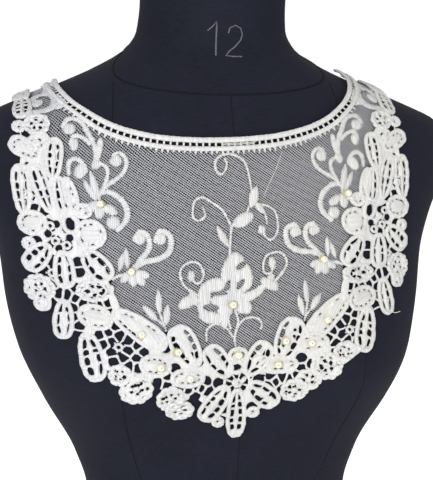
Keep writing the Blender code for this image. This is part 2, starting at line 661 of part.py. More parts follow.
def bride_cell(seed, seeds):
    """A gap in the bride ground: what lies nearer to this seed than to its neighbours, less half a bar."""
    cell = [np.array(p) for p in round_outline(*seed, BRIDE_REACH * 2, BRIDE_REACH * 2, 20, 8)]
    for other in seeds:
        run = np.subtract(other, seed)
        far = float(np.hypot(*run))
        if other == seed or far > 4 * BRIDE_REACH:
            continue
        run = run / far
        limit = far / 2 - BRIDE_BAR / 2
        clipped = []
        for p, q in zip(cell, cell[1:] + cell[:1]):
            out_p, out_q = (p - seed) @ run - limit, (q - seed) @ run - limit
            if out_p <= 0:
                clipped.append(p)
            if out_p * out_q < 0:
                clipped.append(p + (q - p) * (out_p / (out_p - out_q)))
        cell = clipped
    return simplified([tuple(p) for p in cell], 0.4)


def guipure_border(net):
    """The border: motifs on a ground of bride bars, cut through wherever the lace is open."""
    slots = both_sides(PETALS, lambda ba, bd, ta, td, width, count: petal_slots((ba, bd), (ta, td), width, count))
    eyes = both_sides(EYES, lambda *row: [round_outline(*row, 7)])
    seeds = BRIDE_GAPS + mirrored(BRIDE_GAPS)
    cells = [bride_cell(seed, seeds) for seed in seeds]
    loops = one_piece(border_motifs(), [*slots, *eyes, heading_outline(SEAM)], [GROUND, mirrored(GROUND)], cells)

    def lift(flat):
        """Over the net near its edge, and down onto the form further out."""
        outside = np.where(inside(flat, net), 0, distance_to(flat, net))
        fall = np.clip((outside - SHELF) / SLOPE, 0, 1)
        return LACE_LIFT - (LACE_LIFT - NET_LIFT) * fall * fall * (3 - 2 * fall)

    return add_cloth("guipure_border", loops, lift, LACE_THICK, COTTON)


def spray(name, drawing, flip, slots=()):
    """An embroidered spray: satin lines and filled shapes in one piece, kept off the border and heading."""
    strokes, fills = drawing
    solids = [piece for width, points in strokes for piece in stroke_outlines(width, points)]
    solids += [round_outline(*fill) for fill in fills]
    if flip:
        solids = [mirrored(solid) for solid in solids]
    kept_off = [*border_motifs(0.6), heading_outline(0.6)]
    openings = [round_outline(*slot, 6) for slot in slots]
    loops = one_piece(solids, [*openings, *kept_off], tolerance=0.7)
    return add_cloth(name, loops, LACE_LIFT, STITCH_THICK, THREAD)


def pearl(number, across, down, carrier):
    """A pearl lowered along the lace's normal until it is a seam's width off what it is sewn on."""
    place, normal = worn([(across, down)], LACE_LIFT + LACE_THICK + PEARL_SIZE)
    middle, normal = Vector(place[0]) * MM, Vector(normal[0])
    surface = BVHTree.FromObject(bpy.data.objects[carrier], bpy.context.evaluated_depsgraph_get())
    for _ in range(PEARL_STEPS):
        middle -= normal * (surface.find_nearest(middle)[3] - (PEARL_SIZE / 2 + SEAM) * MM)
    mesh = bpy.data.meshes.new("mesh")
    shape = bmesh.new()
    bmesh.ops.create_uvsphere(shape, u_segments=8, v_segments=4, radius=PEARL_SIZE / 2 * MM)
    shape.to_mesh(mesh)
    shape.free()
    obj = add_object(f"pearl_{number:02d}", mesh, NACRE)
    obj.location = middle
    obj.rotation_euler = normal.to_track_quat("Z", "Y").to_euler()
    return obj


for old in list(bpy.data.objects):
    bpy.data.objects.remove(old)
PART = bpy.data.collections.new("guipure_lace_yoke")
bpy.context.scene.collection.children.link(PART)
JERSEY = material("black jersey", (0.012, 0.014, 0.024), 0.75)
COTTON = material("white guipure", (0.86, 0.86, 0.84), 0.7)
TULLE = material("white net", (0.7, 0.71, 0.72), 0.8)
THREAD = material("white satin stitch", (0.88, 0.88, 0.86), 0.55)
NACRE = material("imitation pearl", (0.93, 0.89, 0.78), 0.25)

dress_form()
NET = net_outline()
add_cloth("net_panel", [NET], NET_LIFT, NET_THICK, TULLE)
neckline_heading()
guipure_border(NET)
spray("scroll_shoulder_left", SHOULDER, True)
spray("scroll_shoulder_right", SHOULDER, False)
spray("spray_upper_left", UPPER_SPRAY, True)
spray("spray_upper_right", UPPER_SPRAY, False)
spray("spray_lower_left", LOWER_SPRAY, True)
spray("spray_lower_right", LOWER_SPRAY, False)
spray("leaves_left", LEAF_TRIO, True)
spray("leaves_right", LEAF_TRIO, False)
spray("spray_centre", CENTRE_SPRAY, False, CENTRE_SLOTS)
for NUMBER, (ACROSS, DOWN, CARRIER) in enumerate(PEARLS, 1):
    pearl(NUMBER, ACROSS, DOWN, CARRIER)
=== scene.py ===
"""A guipure lace yoke on a limbless dress form.

The yoke is white machine lace: a net panel with embroidered sprays inside a heavy guipure border, with a ladder
heading along the neckline and sewn pearls. Tables are in millimetres. The yoke is drawn flat, as across (from its
centre line) and down, and is then worn on the form. Half tables are drawn for the right and mirrored to the left.
"""
import math

import bpy
import numpy as np
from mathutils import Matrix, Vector
from mathutils.geometry import delaunay_2d_cdt
from mathutils.kdtree import KDTree


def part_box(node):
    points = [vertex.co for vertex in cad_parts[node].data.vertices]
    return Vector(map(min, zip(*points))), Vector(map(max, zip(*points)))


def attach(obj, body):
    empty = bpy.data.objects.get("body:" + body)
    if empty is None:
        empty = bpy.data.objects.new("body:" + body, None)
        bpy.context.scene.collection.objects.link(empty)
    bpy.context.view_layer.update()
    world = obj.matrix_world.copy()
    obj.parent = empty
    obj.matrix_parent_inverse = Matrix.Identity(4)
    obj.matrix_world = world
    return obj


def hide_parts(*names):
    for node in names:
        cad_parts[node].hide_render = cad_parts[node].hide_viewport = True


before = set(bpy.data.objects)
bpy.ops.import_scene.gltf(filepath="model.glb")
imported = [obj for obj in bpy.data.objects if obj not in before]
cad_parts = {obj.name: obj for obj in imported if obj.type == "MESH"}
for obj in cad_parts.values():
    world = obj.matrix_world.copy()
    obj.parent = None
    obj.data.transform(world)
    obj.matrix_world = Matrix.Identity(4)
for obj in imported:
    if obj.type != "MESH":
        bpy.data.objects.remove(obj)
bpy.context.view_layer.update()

MM = 0.001


# ---- Dress form
# The limbless form is padded foam under a stretched cover of dark navy jersey. Its flat base stands on the floor,
# and its neck ends in a flat cap of the same jersey.

# Rings, hip to neck: height, half width, front, back, ridge (the widest line's depth), squareness
FORM_RINGS = [
    (0, 168, -112, 118, 0, 2.25), (45, 170, -114, 120, 0, 2.25), (110, 150, -108, 106, -2, 2.2),
    (165, 116, -98, 78, -8, 2.15), (203, 104, -96, 64, -12, 2.1), (240, 114, -100, 66, -12, 2.1),
    (285, 138, -110, 84, -6, 2.15), (325, 156, -118, 98, 0, 2.2), (360, 164, -117, 106, 3, 2.25),
    (395, 168, -112, 110, 6, 2.3), (425, 177, -105, 108, 8, 2.3), (452, 190, -97, 103, 10, 2.2),
    (476, 195, -89, 97, 12, 2.1), (494, 187, -82, 92, 14, 2.05), (508, 160, -75, 87, 17, 2.0),
    (523, 122, -68, 82, 20, 2.0), (538, 88, -62, 77, 21, 2.0), (551, 67, -58, 72, 17, 2.0),
    (565, 58.5, -56, 66, 10, 2.0), (587, 56.5, -58, 58, 1, 2.0), (620, 57.5, -64, 51, -6, 2.0),
    (655, 60, -71, 46, -12, 2.0),
]
FORM_TOP = 655.0
FORM_ROW, FORM_FRONT, FORM_REAR = 3.5, 100, 60
BUST_ACROSS, BUST_HEIGHT, BUST_OUT, BUST_WIDE, BUST_TALL = 90.0, 316.0, 26.0, 56.0, 44.0


def smooth_column(at, column):
    """One column of FORM_RINGS at any height, as a monotone cubic that never bulges past its own rows."""
    rows = np.array(FORM_RINGS, float)
    heights, values = rows[:, 0], rows[:, column]
    step = np.diff(heights)
    slope = np.diff(values) / step
    tangent = np.zeros(len(values))
    tangent[0], tangent[-1] = slope[0], slope[-1]
    for i in range(1, len(values) - 1):
        if slope[i - 1] * slope[i] > 0:
            near, far = 2 * step[i] + step[i - 1], step[i] + 2 * step[i - 1]
            tangent[i] = (near + far) / (near / slope[i - 1] + far / slope[i])
    i = np.clip(np.searchsorted(heights, at) - 1, 0, len(step) - 1)
    t = (np.clip(at, 0, FORM_TOP) - heights[i]) / step[i]
    return ((1 + 2 * t) * (1 - t) ** 2 * values[i] + t * (1 - t) ** 2 * step[i] * tangent[i]
            + t * t * (3 - 2 * t) * values[i + 1] + t * t * (t - 1) * step[i] * tangent[i + 1])


def form_depth(across, height, side):
    """Depth (y) of the form's front (side -1) or back (side 1) at a place seen from the front."""
    half, front, back, ridge, square = (smooth_column(height, k) for k in range(1, 6))
    out = np.clip(np.abs(across) / half, 0, 1)
    arc = (1 - out ** square) ** (1 / square)
    if side > 0:
        return ridge + (back - ridge) * arc
    swell = sum(np.exp(-((across - s * BUST_ACROSS) / BUST_WIDE) ** 2 - ((height - BUST_HEIGHT) / BUST_TALL) ** 2)
                for s in (-1, 1))
    facing = np.minimum(1, 2.5 * np.sqrt(1 - out ** square))
    return ridge - (ridge - front) * arc - BUST_OUT * swell * facing


def form_ring(height, inset=0.0):
    """One ring of the form, from its left side over the front and round the back."""
    half, ridge, square = (float(smooth_column(height, k)) for k in (1, 4, 5))
    turns = [(k / FORM_FRONT - 0.5, -1) for k in range(FORM_FRONT)]
    turns += [(k / FORM_REAR + 0.5, 1) for k in range(FORM_REAR)]
    ring = []
    for turn, side in turns:
        s = math.sin(math.pi * turn)
        x = half * math.copysign(abs(s) ** (2 / square), s)
        y = float(form_depth(x, height, side))
        draw = 1 - inset / max(math.hypot(x, y - ridge), 1)
        ring.append((x * draw, ridge + (y - ridge) * draw, height))
    return ring


def add_node(tree, kind, given={}, out=0, **settings):
    """One output of a new shader node with its settings, given plain values and the outputs of other nodes."""
    made = tree.nodes.new(kind)
    for key, value in settings.items():
        setattr(made, key, value)
    for socket, value in given.items():
        if isinstance(value, bpy.types.NodeSocket):
            tree.links.new(value, made.inputs[socket])
        else:
            made.inputs[socket].default_value = value
    return made.outputs[out]


def reckon(tree, operation, *given):
    """A sum on values and outputs."""
    return add_node(tree, "ShaderNodeMath", dict(enumerate(given)), operation=operation)


def noise(tree, place, scale, detail, **more):
    """Noise over a surface."""
    return add_node(tree, "ShaderNodeTexNoise", {"Vector": place, "Scale": scale, "Detail": detail, **more})


def spread(tree, value, low, high):
    """A value from 0 to 1, spread from low to high."""
    return add_node(tree, "ShaderNodeMapRange", {"Value": value, "To Min": low, "To Max": high})


def two_tone(tree, mask, low, dark, high, light):
    """A colour that turns from one tone to another as a mask goes from low to high."""
    colour = add_node(tree, "ShaderNodeValToRGB", {"Fac": mask})
    for element, at, tone in zip(colour.node.color_ramp.elements, (low, high), (dark, light)):
        element.position, element.color = at, (*tone, 1)
    return colour


def dress(tree, shader, colour, height, strength, deep, roughness=None):
    """Gives a shader its colour and relief, and its roughness where that changes over the surface."""
    relief = add_node(tree, "ShaderNodeBump", {"Strength": strength, "Distance": deep, "Height": height})
    tree.links.new(colour, shader.inputs["Base Color"])
    tree.links.new(relief, shader.inputs["Normal"])
    if roughness:
        tree.links.new(roughness, shader.inputs["Roughness"])


def new_finish(name, **constants):
    """A material with its Principled shader, whose constant sockets are set by name."""
    finish = bpy.data.materials.new(name)
    finish.use_nodes = True
    shader = finish.node_tree.nodes["Principled BSDF"]
    for socket, value in constants.items():
        shader.inputs[socket.replace("_", " ")].default_value = value
    return finish, finish.node_tree, shader


def placed(name, data):
    """A new object in the scene."""
    made = bpy.data.objects.new(name, data)
    bpy.context.scene.collection.objects.link(made)
    return made


def plain_object(name, points, faces, finish):
    """A smooth mesh object from points in millimetres, riding on the form."""
    mesh = bpy.data.meshes.new(name)
    mesh.from_pydata([tuple(float(c) * MM for c in p) for p in points], [], faces)
    mesh.materials.append(finish)
    mesh.shade_smooth()
    mesh.update()
    made = placed(name, mesh)
    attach(made, "root")
    return made


def ring_faces(rings, around, first=0):
    """Faces between rings of points that follow one another."""
    return [[first + r * around + k, first + r * around + (k + 1) % around,
             first + (r + 1) * around + (k + 1) % around, first + (r + 1) * around + k]
            for r in range(rings - 1) for k in range(around)]


def jersey_finish():
    """Navy jersey: fine courses that run round the form, a brushed nap, and a fine relief of knit loops."""
    finish, tree, shader = new_finish("navy jersey", Sheen_Weight=0.015, Sheen_Roughness=0.5,
                                      Sheen_Tint=(0.8, 0.82, 1, 1), Specular_IOR_Level=0.1)
    place = add_node(tree, "ShaderNodeTexCoord", out="Object")
    courses = noise(tree, add_node(tree, "ShaderNodeMapping", {"Vector": place, "Scale": (240, 240, 1500)}), 1.0, 2.0)
    nap = noise(tree, place, 22.0, 5.0, Roughness=0.6)
    loops = noise(tree, place, 900.0, 1.0)
    shade = reckon(tree, "MULTIPLY_ADD", nap, 0.45, reckon(tree, "MULTIPLY", courses, 0.55))
    colour = two_tone(tree, shade, 0.3, (0.0064, 0.0073, 0.0138), 0.72, (0.0141, 0.0155, 0.0262))
    height = reckon(tree, "MULTIPLY_ADD", loops, 0.4, courses)
    dress(tree, shader, colour, height, 0.5, 0.0004, spread(tree, nap, 0.62, 0.88))
    return finish


JERSEY = jersey_finish()
RINGS = [form_ring(0, 3.0), form_ring(0.9, 0.8)]
RINGS += [form_ring(h) for h in np.linspace(3, FORM_TOP - 3, round((FORM_TOP - 6) / FORM_ROW) + 1)]
RINGS += [form_ring(FORM_TOP - 0.9, 0.8), form_ring(FORM_TOP, 3.0)]
AROUND = len(RINGS[0])
FACES = ring_faces(len(RINGS), AROUND)
FACES += [list(range(AROUND))[::-1], [(len(RINGS) - 1) * AROUND + k for k in range(AROUND)]]
form = plain_object("form_cover", [p for ring in RINGS for p in ring], FACES, JERSEY)
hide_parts("dress_form")


# ---- Seams and size number of the form
# The cover's panels meet in narrow turned seams. Their shadow is painted as near-black cords laid along them, drawn
# darkest round the neck, and the dress size is printed in grey on the neck's front.

NECK_SEAM_HEIGHT, NECK_SEAM_TILT = 544.0, 0.4
PRINCESS_SEAM = [(84, 4), (82, 110), (56, 203), (70, 240), (82, 286), (88, 330), (90, 380), (90, 430), (87, 480),
                 (82, 524)]
SEAM_WIDTH = 1.0
NUMBER_STROKES = [
    [(-13.6, 561.8), (-10.5, 564.5), (-7.2, 568.4), (-7.4, 560), (-8, 552), (-8.5, 543.6)],
    [(1.4, 560), (2.6, 563.8), (6.9, 565.8), (10.8, 563.6), (12, 559.4), (10.6, 555.2), (6.2, 550.4), (1.4, 546.8),
     (-1.1, 543.6), (4, 543), (11, 543)],
]


def smooth_path(points, step):
    """A smooth curve through given points, read every step or so (Catmull-Rom)."""
    pts = np.array([points[0]] + list(points) + [points[-1]], float)
    path = []
    for a, b, c, d in zip(pts, pts[1:], pts[2:], pts[3:]):
        for t in np.linspace(0, 1, max(1, round(np.linalg.norm(c - b) / step)), endpoint=False):
            path.append(0.5 * (2 * b + (c - a) * t + (2 * a - 5 * b + 4 * c - d) * t ** 2
                               + (3 * b - a - 3 * c + d) * t ** 3))
    return np.array(path + [pts[-1]])


def line_on_form(name, lines, width, sunk, finish):
    """Narrow rounded lines laid along the form, sunk into its cover by part of their width."""
    drawn = bpy.data.curves.new(name, "CURVE")
    drawn.dimensions, drawn.bevel_depth, drawn.bevel_resolution = "3D", width / 2 * MM, 2
    drawn.use_fill_caps = True
    for line in lines:
        spline = drawn.splines.new("POLY")
        spline.points.add(len(line) - 1)
        for point, (x, y, z) in zip(spline.points, line):
            ridge = float(smooth_column(z, 4))
            inward = np.array((x, y - ridge)) / max(math.hypot(x, y - ridge), 1) * sunk
            point.co = ((x - inward[0]) * MM, (y - inward[1]) * MM, z * MM, 1)
    drawn.materials.append(finish)
    made = placed(name, drawn)
    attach(made, "root")
    return made


def thread_finish(name, dark, light, scale):
    """Plain sewing thread, print, glue, or the painted shadow along a seam, mottled between two tones."""
    finish, tree, shader = new_finish(name, Roughness=0.8, Specular_IOR_Level=0.2)
    grain = noise(tree, add_node(tree, "ShaderNodeTexCoord", out="Object"), scale, 3.0)
    dress(tree, shader, two_tone(tree, grain, 0.35, dark, 0.65, light), grain, 0.4, 0.0002)
    return finish


def neck_seam_shadow():
    """The path of the painted shadow along the seam round the foot of the neck, lower at the front."""
    loop = []
    for k in range(121):
        turn = 2 * math.pi * k / 120
        side = -1 if math.sin(turn) < 0 else 1
        height = 545.0
        for _ in range(12):
            x = float(smooth_column(height, 1)) * math.cos(turn)
            y = float(form_depth(x, height, side))
            height += (NECK_SEAM_HEIGHT + NECK_SEAM_TILT * y - height) * 0.7
        loop.append((x, y, height))
    return loop


def panel_seam(points, side=-1):
    """A seam down the form, from places seen from the front."""
    return [(x, float(form_depth(x, z, side)), z) for x, z in smooth_path(points, 5.0)]


# Painted shadow: the seams are near-black cords laid on the cover, standing in for the shade in their grooves
SEAM_SHADOW = thread_finish("seam shadow", (0.001, 0.001, 0.002), (0.005, 0.005, 0.008), 900.0)
line_on_form("neck_seam_shadow", [neck_seam_shadow()], 1.6, 0.3, SEAM_SHADOW)
SEAMS = [panel_seam([(0, 4), (0, 200), (0, 330), (0, 440), (0, 514)]), panel_seam([(0, 4), (0, 300), (0, 572)], 1)]
SEAMS += [panel_seam([(s * x, z) for x, z in PRINCESS_SEAM]) for s in (-1, 1)]
SEAMS += [[(s * float(smooth_column(z, 1)), float(smooth_column(z, 4)), z) for z in np.arange(4, 552, 5.0)]
          for s in (-1, 1)]
line_on_form("panel_seam_shadows", SEAMS, SEAM_WIDTH, 0.3, SEAM_SHADOW)
NUMBER_INK = thread_finish("number print", (0.085, 0.082, 0.095), (0.13, 0.125, 0.14), 1200.0)
line_on_form("size_number", [panel_seam(stroke) for stroke in NUMBER_STROKES], 1.9, 0.75, NUMBER_INK)


# ---- Net panel
# White tulle: fine threads crossing on the bias, with a stronger thread every row from upper left to lower right.
# It is caught under the heading and the border, and lies free on the form between them.

# How the yoke sits: pushed to the viewer's left and turned a little, its left side lower
YOKE_SHIFT = -3.0
YOKE_TURN = math.tan(math.radians(2.2))
YOKE_TIP = 190.0
CHART_HEIGHT, CHART_FOOT, CHART_BACK = 470.0, 230.0, 430.0
CHART_ACROSS = np.arange(-168.0, 169.0, 2.0)
CHART_DOWN = np.arange(-132.0, 240.0, 2.0)
SHOULDER_LOW, SHOULDER_HIGH = 476.0, 587.0
NET_LIFT, LACE_LIFT = 0.8, 2.45
NET_STEP = 4.5
# Threads: angle, pitch, width, height, rise above the net's underside
NET_THREADS = [(38, 1.52, 0.57, 0.4, 0.55), (-52, 1.4, 0.2, 0.26, 0.45)]
# Above this line the net is pulled lengthwise over the shoulders, the more the higher up
PULL_FROM, PULL_SOFT = 8.0, 80.0
NECKLINE = [(0, -15.5), (20, -16), (40, -17.8), (57, -21.3), (70, -25.5), (82, -31.5), (92, -40), (100, -50),
            (105, -61), (108, -74), (109, -90), (109, -113)]
NET_TUCK = 7.5
NET_EDGE = [(133, -113), (133, -62), (131, -40), (120, -30), (121, -19), (112.5, -13), (113.5, 8), (106, 21),
            (102, 33), (97, 41), (90, 44), (90, 51), (92, 60), (86, 71), (82, 81), (84, 89), (82, 98), (79, 107),
            (70, 109.5), (62, 113), (55, 119), (49, 118.5), (44, 118.5), (37, 121), (33, 130), (28, 134),
            (21, 133.5), (14, 138), (8, 137), (4, 134), (0, 133.5)]


def chart_line(across):
    """Depth and height along the form, for one distance across, at each step of CHART_DOWN."""
    climb = np.linspace(SHOULDER_LOW, SHOULDER_HIGH, 800)
    widths = smooth_column(climb, 1)
    top = np.interp(-abs(across), -widths, climb) if abs(across) > widths.min() else SHOULDER_HIGH
    share = np.linspace(1, 0, 150)
    heights = top - (top - CHART_FOOT) * share ** 2
    depths = form_depth(across, heights, -1)
    reference = len(heights)
    if top < SHOULDER_HIGH:
        behind = top - (top - CHART_BACK) * share[::-1][1:] ** 2
        depths = np.append(depths, form_depth(across, behind, 1))
        heights = np.append(heights, behind)
    length = np.append(0, np.cumsum(np.hypot(np.diff(heights), np.diff(depths))))
    down = np.interp(CHART_HEIGHT, heights[:reference], length[:reference]) - length
    order = np.argsort(down)
    return np.stack([np.interp(CHART_DOWN, down[order], depths[order]),
                     np.interp(CHART_DOWN, down[order], heights[order])], 1)


CHART = np.array([chart_line(across) for across in CHART_ACROSS])


def on_chart(across, down):
    """A point of the form's surface, read from the chart between its steps."""
    i = np.clip((across - CHART_ACROSS[0]) / 2.0, 0, len(CHART_ACROSS) - 1.001)
    j = np.clip((down - CHART_DOWN[0]) / 2.0, 0, len(CHART_DOWN) - 1.001)
    i0, j0 = i.astype(int), j.astype(int)
    fi, fj = (i - i0)[:, None], (j - j0)[:, None]
    side = ((1 - fi) * (1 - fj) * CHART[i0, j0] + fi * (1 - fj) * CHART[i0 + 1, j0]
            + (1 - fi) * fj * CHART[i0, j0 + 1] + fi * fj * CHART[i0 + 1, j0 + 1])
    return np.column_stack([across, side])


def worn(points, lift):
    """Points of the flat pattern as they lie on the form, lifted off it along its normal."""
    across, down = np.asarray(points, float).T
    hang = np.clip((down + 60) / 150, 0.2, 1)
    x = across + YOKE_SHIFT - (YOKE_TIP - np.maximum(down, 0)) * YOKE_TURN
    v = down - across * YOKE_TURN * hang
    reach = 2.5
    along = on_chart(x + reach, v) - on_chart(x - reach, v)
    fall = on_chart(x, v + reach) - on_chart(x, v - reach)
    normal = np.cross(fall, along)
    normal /= np.linalg.norm(normal, axis=1)[:, None]
    return on_chart(x, v) + normal * np.asarray(lift, float).reshape(-1, 1), normal


def offset_path(path, distance):
    """The path moved sideways, plus is to its left as it is drawn with down pointing down."""
    run = np.gradient(path, axis=0)
    run /= np.linalg.norm(run, axis=1)[:, None]
    return path + np.column_stack([run[:, 1], -run[:, 0]]) * distance


def neckline_path(step):
    """The neckline's upper edge from the left strap's end to the right one's."""
    half = smooth_path(NECKLINE, step)
    return np.vstack([half[::-1] * (-1, 1), half[1:]])


def winding(outline):
    """Twice the area inside a flat outline, minus where it is drawn the other way round."""
    x, y = np.asarray(outline, float).T
    return float(np.dot(x, np.roll(y, -1)) - np.dot(y, np.roll(x, -1)))


class Lace:
    """The cords and pads of one piece of lace, kept flat until the piece is worn."""

    def __init__(self):
        self.flat, self.rise, self.faces, self.grain, self.count = [], [], [], [], 0

    def add(self, flat, rise, faces, grain):
        """Adds points with their rise, faces between them, and the grain (UV) of each face's corners."""
        self.flat.append(np.asarray(flat, float))
        self.rise.append(np.asarray(rise, float))
        self.faces += [[k + self.count for k in face] for face in faces]
        self.grain += grain
        self.count += len(flat)

    def cord(self, path, wide, high, rise=0.0, closed=False, sides=8, blunt=False):
        """A rounded cord along a flat path. Its width and height may change along it."""
        path = np.asarray(path, float)
        wide, high, rise = (np.broadcast_to(np.asarray(k, float), len(path)) for k in (wide, high, rise))
        ahead = np.roll(path, -1, 0) - np.roll(path, 1, 0) if closed else np.gradient(path, axis=0)
        ahead = ahead / (np.linalg.norm(ahead, axis=1)[:, None] + 1e-9)
        scale = np.ones(len(path))
        if not closed and not blunt:
            for end, way in ((0, -1), (-1, 1)):
                reach = [(0.6, 0.8), (0.93, 0.37)]
                tips = [path[end] + ahead[end] * way * wide[end] / 2 * far for far, _ in reach]
                sizes = [size for _, size in reach]
                if end == 0:
                    path, scale = np.vstack([tips[::-1], path]), np.append(sizes[::-1], scale)
                    wide, high, rise = (np.append([k[0]] * 2, k) for k in (wide, high, rise))
                    ahead = np.vstack([[ahead[0]] * 2, ahead])
                else:
                    path, scale = np.vstack([path, tips]), np.append(scale, sizes)
                    wide, high, rise = (np.append(k, [k[-1]] * 2) for k in (wide, high, rise))
                    ahead = np.vstack([ahead, [ahead[-1]] * 2])
        beside = np.column_stack([ahead[:, 1], -ahead[:, 0]])
        angle = 2 * np.pi * (np.arange(sides) + 0.5) / sides
        out, up = np.cos(angle) / math.cos(math.pi / sides), np.sin(angle) / math.cos(math.pi / sides)
        flat = path[:, None] + beside[:, None] * (out[None, :, None] * (wide * scale)[:, None, None] / 2)
        tall = rise[:, None] + high[:, None] * (0.5 + 0.5 * scale[:, None] * up[None])
        n = len(path)
        steps = np.linalg.norm(np.diff(path, axis=0, append=path[:1]), axis=1)
        along = np.append(0, np.cumsum(steps))
        faces, grain = [], []
        for i in range(n if closed else n - 1):
            j = (i + 1) % n
            for k in range(sides):
                m = (k + 1) % sides
                faces.append([i * sides + k, i * sides + m, j * sides + m, j * sides + k])
                grain += [(along[i], k / sides), (along[i], (k + 1) / sides), (along[i + 1], (k + 1) / sides),
                          (along[i + 1], k / sides)]
        if not closed:
            faces += [list(range(sides))[::-1], [(n - 1) * sides + k for k in range(sides)]]
            grain += [(0.0, 0.0)] * sides + [(along[n - 1], 0.0)] * sides
        self.add(flat.reshape(-1, 2), tall.ravel(), faces, grain)

    def pad(self, outline, high, grain=0.0):
        """A filled shape with a rounded edge. Its threads lie at an angle to the down direction."""
        outline = np.asarray(outline, float)
        middle, n = outline.mean(axis=0), len(outline)
        shells = [(0.96, 0.0), (1.0, 0.4), (0.93, 0.75), (0.78, 0.93), (0.45, 1.0)]
        flat = [middle + (outline - middle) * share for share, _ in shells] + [middle[None]]
        tall = [np.full(n, high * up) for _, up in shells] + [np.array([high])]
        faces = []
        for s in range(len(shells) - 1):
            faces += [[s * n + k, (s + 1) * n + k, (s + 1) * n + (k + 1) % n, s * n + (k + 1) % n] for k in range(n)]
        last = (len(shells) - 1) * n
        faces += [[last + k, len(shells) * n, last + (k + 1) % n] for k in range(n)]
        faces.append(list(range(n)))
        if winding(outline) < 0:
            faces = [face[::-1] for face in faces]
        flat = np.vstack(flat)
        c, s = math.cos(math.radians(grain)), math.sin(math.radians(grain))
        lie = np.column_stack([flat[:, 0] * c + flat[:, 1] * s, flat[:, 1] * c - flat[:, 0] * s])
        self.add(flat, np.concatenate(tall), faces, [tuple(lie[k]) for face in faces for k in face])

    def worn_as(self, name, lift, finish, slot, *nodes):
        """Lays the piece on the form and hands it over in place of its CAD nodes."""
        flat, rise = np.concatenate(self.flat), np.concatenate(self.rise)
        points, _ = worn(flat, rise + (lift(flat) if callable(lift) else lift))
        made = plain_object(name, points, self.faces, finish)
        thread = made.data.uv_layers.new(name="thread")
        thread.data.foreach_set("uv", np.asarray(self.grain, np.float32).ravel())
        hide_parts(*nodes)
        return made


def net_outline(tuck):
    """The net panel seen flat, its upper edge tucked under the heading."""
    tucked = offset_path(neckline_path(8.0), -tuck)
    edge = [(-x, y) for x, y in NET_EDGE] + NET_EDGE[::-1][1:]
    return [tuple(p) for p in tucked] + [(float(x), float(y)) for x, y in edge[::-1]]


def crossings(outline, start, way):
    """Where a straight thread enters and leaves an outline."""
    a = np.asarray(outline, float)
    run = np.roll(a, -1, 0) - a
    cross = way[0] * run[:, 1] - way[1] * run[:, 0]
    safe = np.where(np.abs(cross) < 1e-9, 1e-9, cross)
    off = a - start
    t = (off[:, 0] * run[:, 1] - off[:, 1] * run[:, 0]) / safe
    s = (off[:, 0] * way[1] - off[:, 1] * way[0]) / safe
    hits = np.sort(t[(s >= 0) & (s < 1)])
    return [(hits[k], hits[k + 1]) for k in range(0, len(hits) - 1, 2)]


def before_pull(down):
    """How far down a place of the net was before the net was pulled lengthwise over the shoulders."""
    above = np.maximum(PULL_FROM - down, 0)
    return down + above - PULL_SOFT * np.log1p(above / PULL_SOFT)


def after_pull(down):
    """The other way round."""
    above = np.maximum(PULL_FROM - down, 0)
    return down + above - PULL_SOFT * np.expm1(above / PULL_SOFT)


def new_group(name, given, result):
    """A node group with its named sockets, its input's outputs and its output's inputs."""
    group = bpy.data.node_groups.new(name, "ShaderNodeTree")
    for in_out, sockets in (("INPUT", given), ("OUTPUT", result)):
        for socket, kind in sockets.items():
            group.interface.new_socket(name=socket, in_out=in_out, socket_type="NodeSocket" + kind)
    return group, group.nodes.new("NodeGroupInput").outputs, group.nodes.new("NodeGroupOutput").inputs


def yarn_tint():
    """Node group: white yarn that turns from lilac white to cream over the piece, with faint soiling, darkened by the
    given Shade.
    """
    group, given, result = new_group("yarn tint", {"Cool": "Color", "Warm": "Color", "Shade": "Float"},
                                     {"Colour": "Color"})
    place = add_node(group, "ShaderNodeTexCoord", out="Object")
    across = add_node(group, "ShaderNodeSeparateXYZ", {0: place})
    side = add_node(group, "ShaderNodeMapRange", {"Value": across, "From Min": -0.14, "From Max": 0.03})
    warm = reckon(group, "MULTIPLY_ADD", side, 0.45, noise(group, place, 26.0, 4.0))
    warm = add_node(group, "ShaderNodeMapRange", {"Value": warm, "From Min": 0.4, "From Max": 1.05})
    tint = add_node(group, "ShaderNodeMix", {0: warm, 6: given[0], 7: given[1]}, 2, data_type="RGBA")
    # The given Shade darkens the tint: each thread's own tone, and painted shade in the grooves between threads
    dark = add_node(group, "ShaderNodeMix", {0: 1.0, 6: tint, 7: given[2]}, 2, data_type="RGBA", blend_type="MULTIPLY")
    group.links.new(dark, result[0])
    return group


def thread_rows():
    """Node group: threads side by side along the grain, each lighter or darker than the next, with painted shade
    between them.
    """
    group, given, result = new_group("thread rows", {"Pitch": "Float", "Waver": "Float", "Contrast": "Float"},
                                     {"Height": "Float", "Shade": "Float"})
    grain = add_node(group, "ShaderNodeUVMap", uv_map="thread")
    along = add_node(group, "ShaderNodeSeparateXYZ", {0: grain})
    along = reckon(group, "MULTIPLY_ADD", noise(group, grain, 0.35, 3.0), given[1], along)
    count = reckon(group, "DIVIDE", along, given[0])
    swing = reckon(group, "SINE", reckon(group, "MULTIPLY", count, 2 * math.pi))
    swing = add_node(group, "ShaderNodeMapRange", {"Value": swing, "From Min": -1.0})
    single = add_node(group, "ShaderNodeTexWhiteNoise", {"W": reckon(group, "FLOOR", count)}, noise_dimensions="1D")
    level = reckon(group, "MULTIPLY_ADD", single, 0.6, swing)
    # Painted shade: the colour is darker where the relief is low, in the grooves between threads, besides each thread's
    # own tone
    depth = add_node(group, "ShaderNodeMapRange", {"Value": level, "From Max": 1.6, "To Min": 1.0, "To Max": 0.0})
    group.links.new(level, result[0])
    group.links.new(reckon(group, "SUBTRACT", 1.0, reckon(group, "MULTIPLY", depth, given[2])), result[1])
    return group


YARN_TINT, THREAD_ROWS = yarn_tint(), thread_rows()


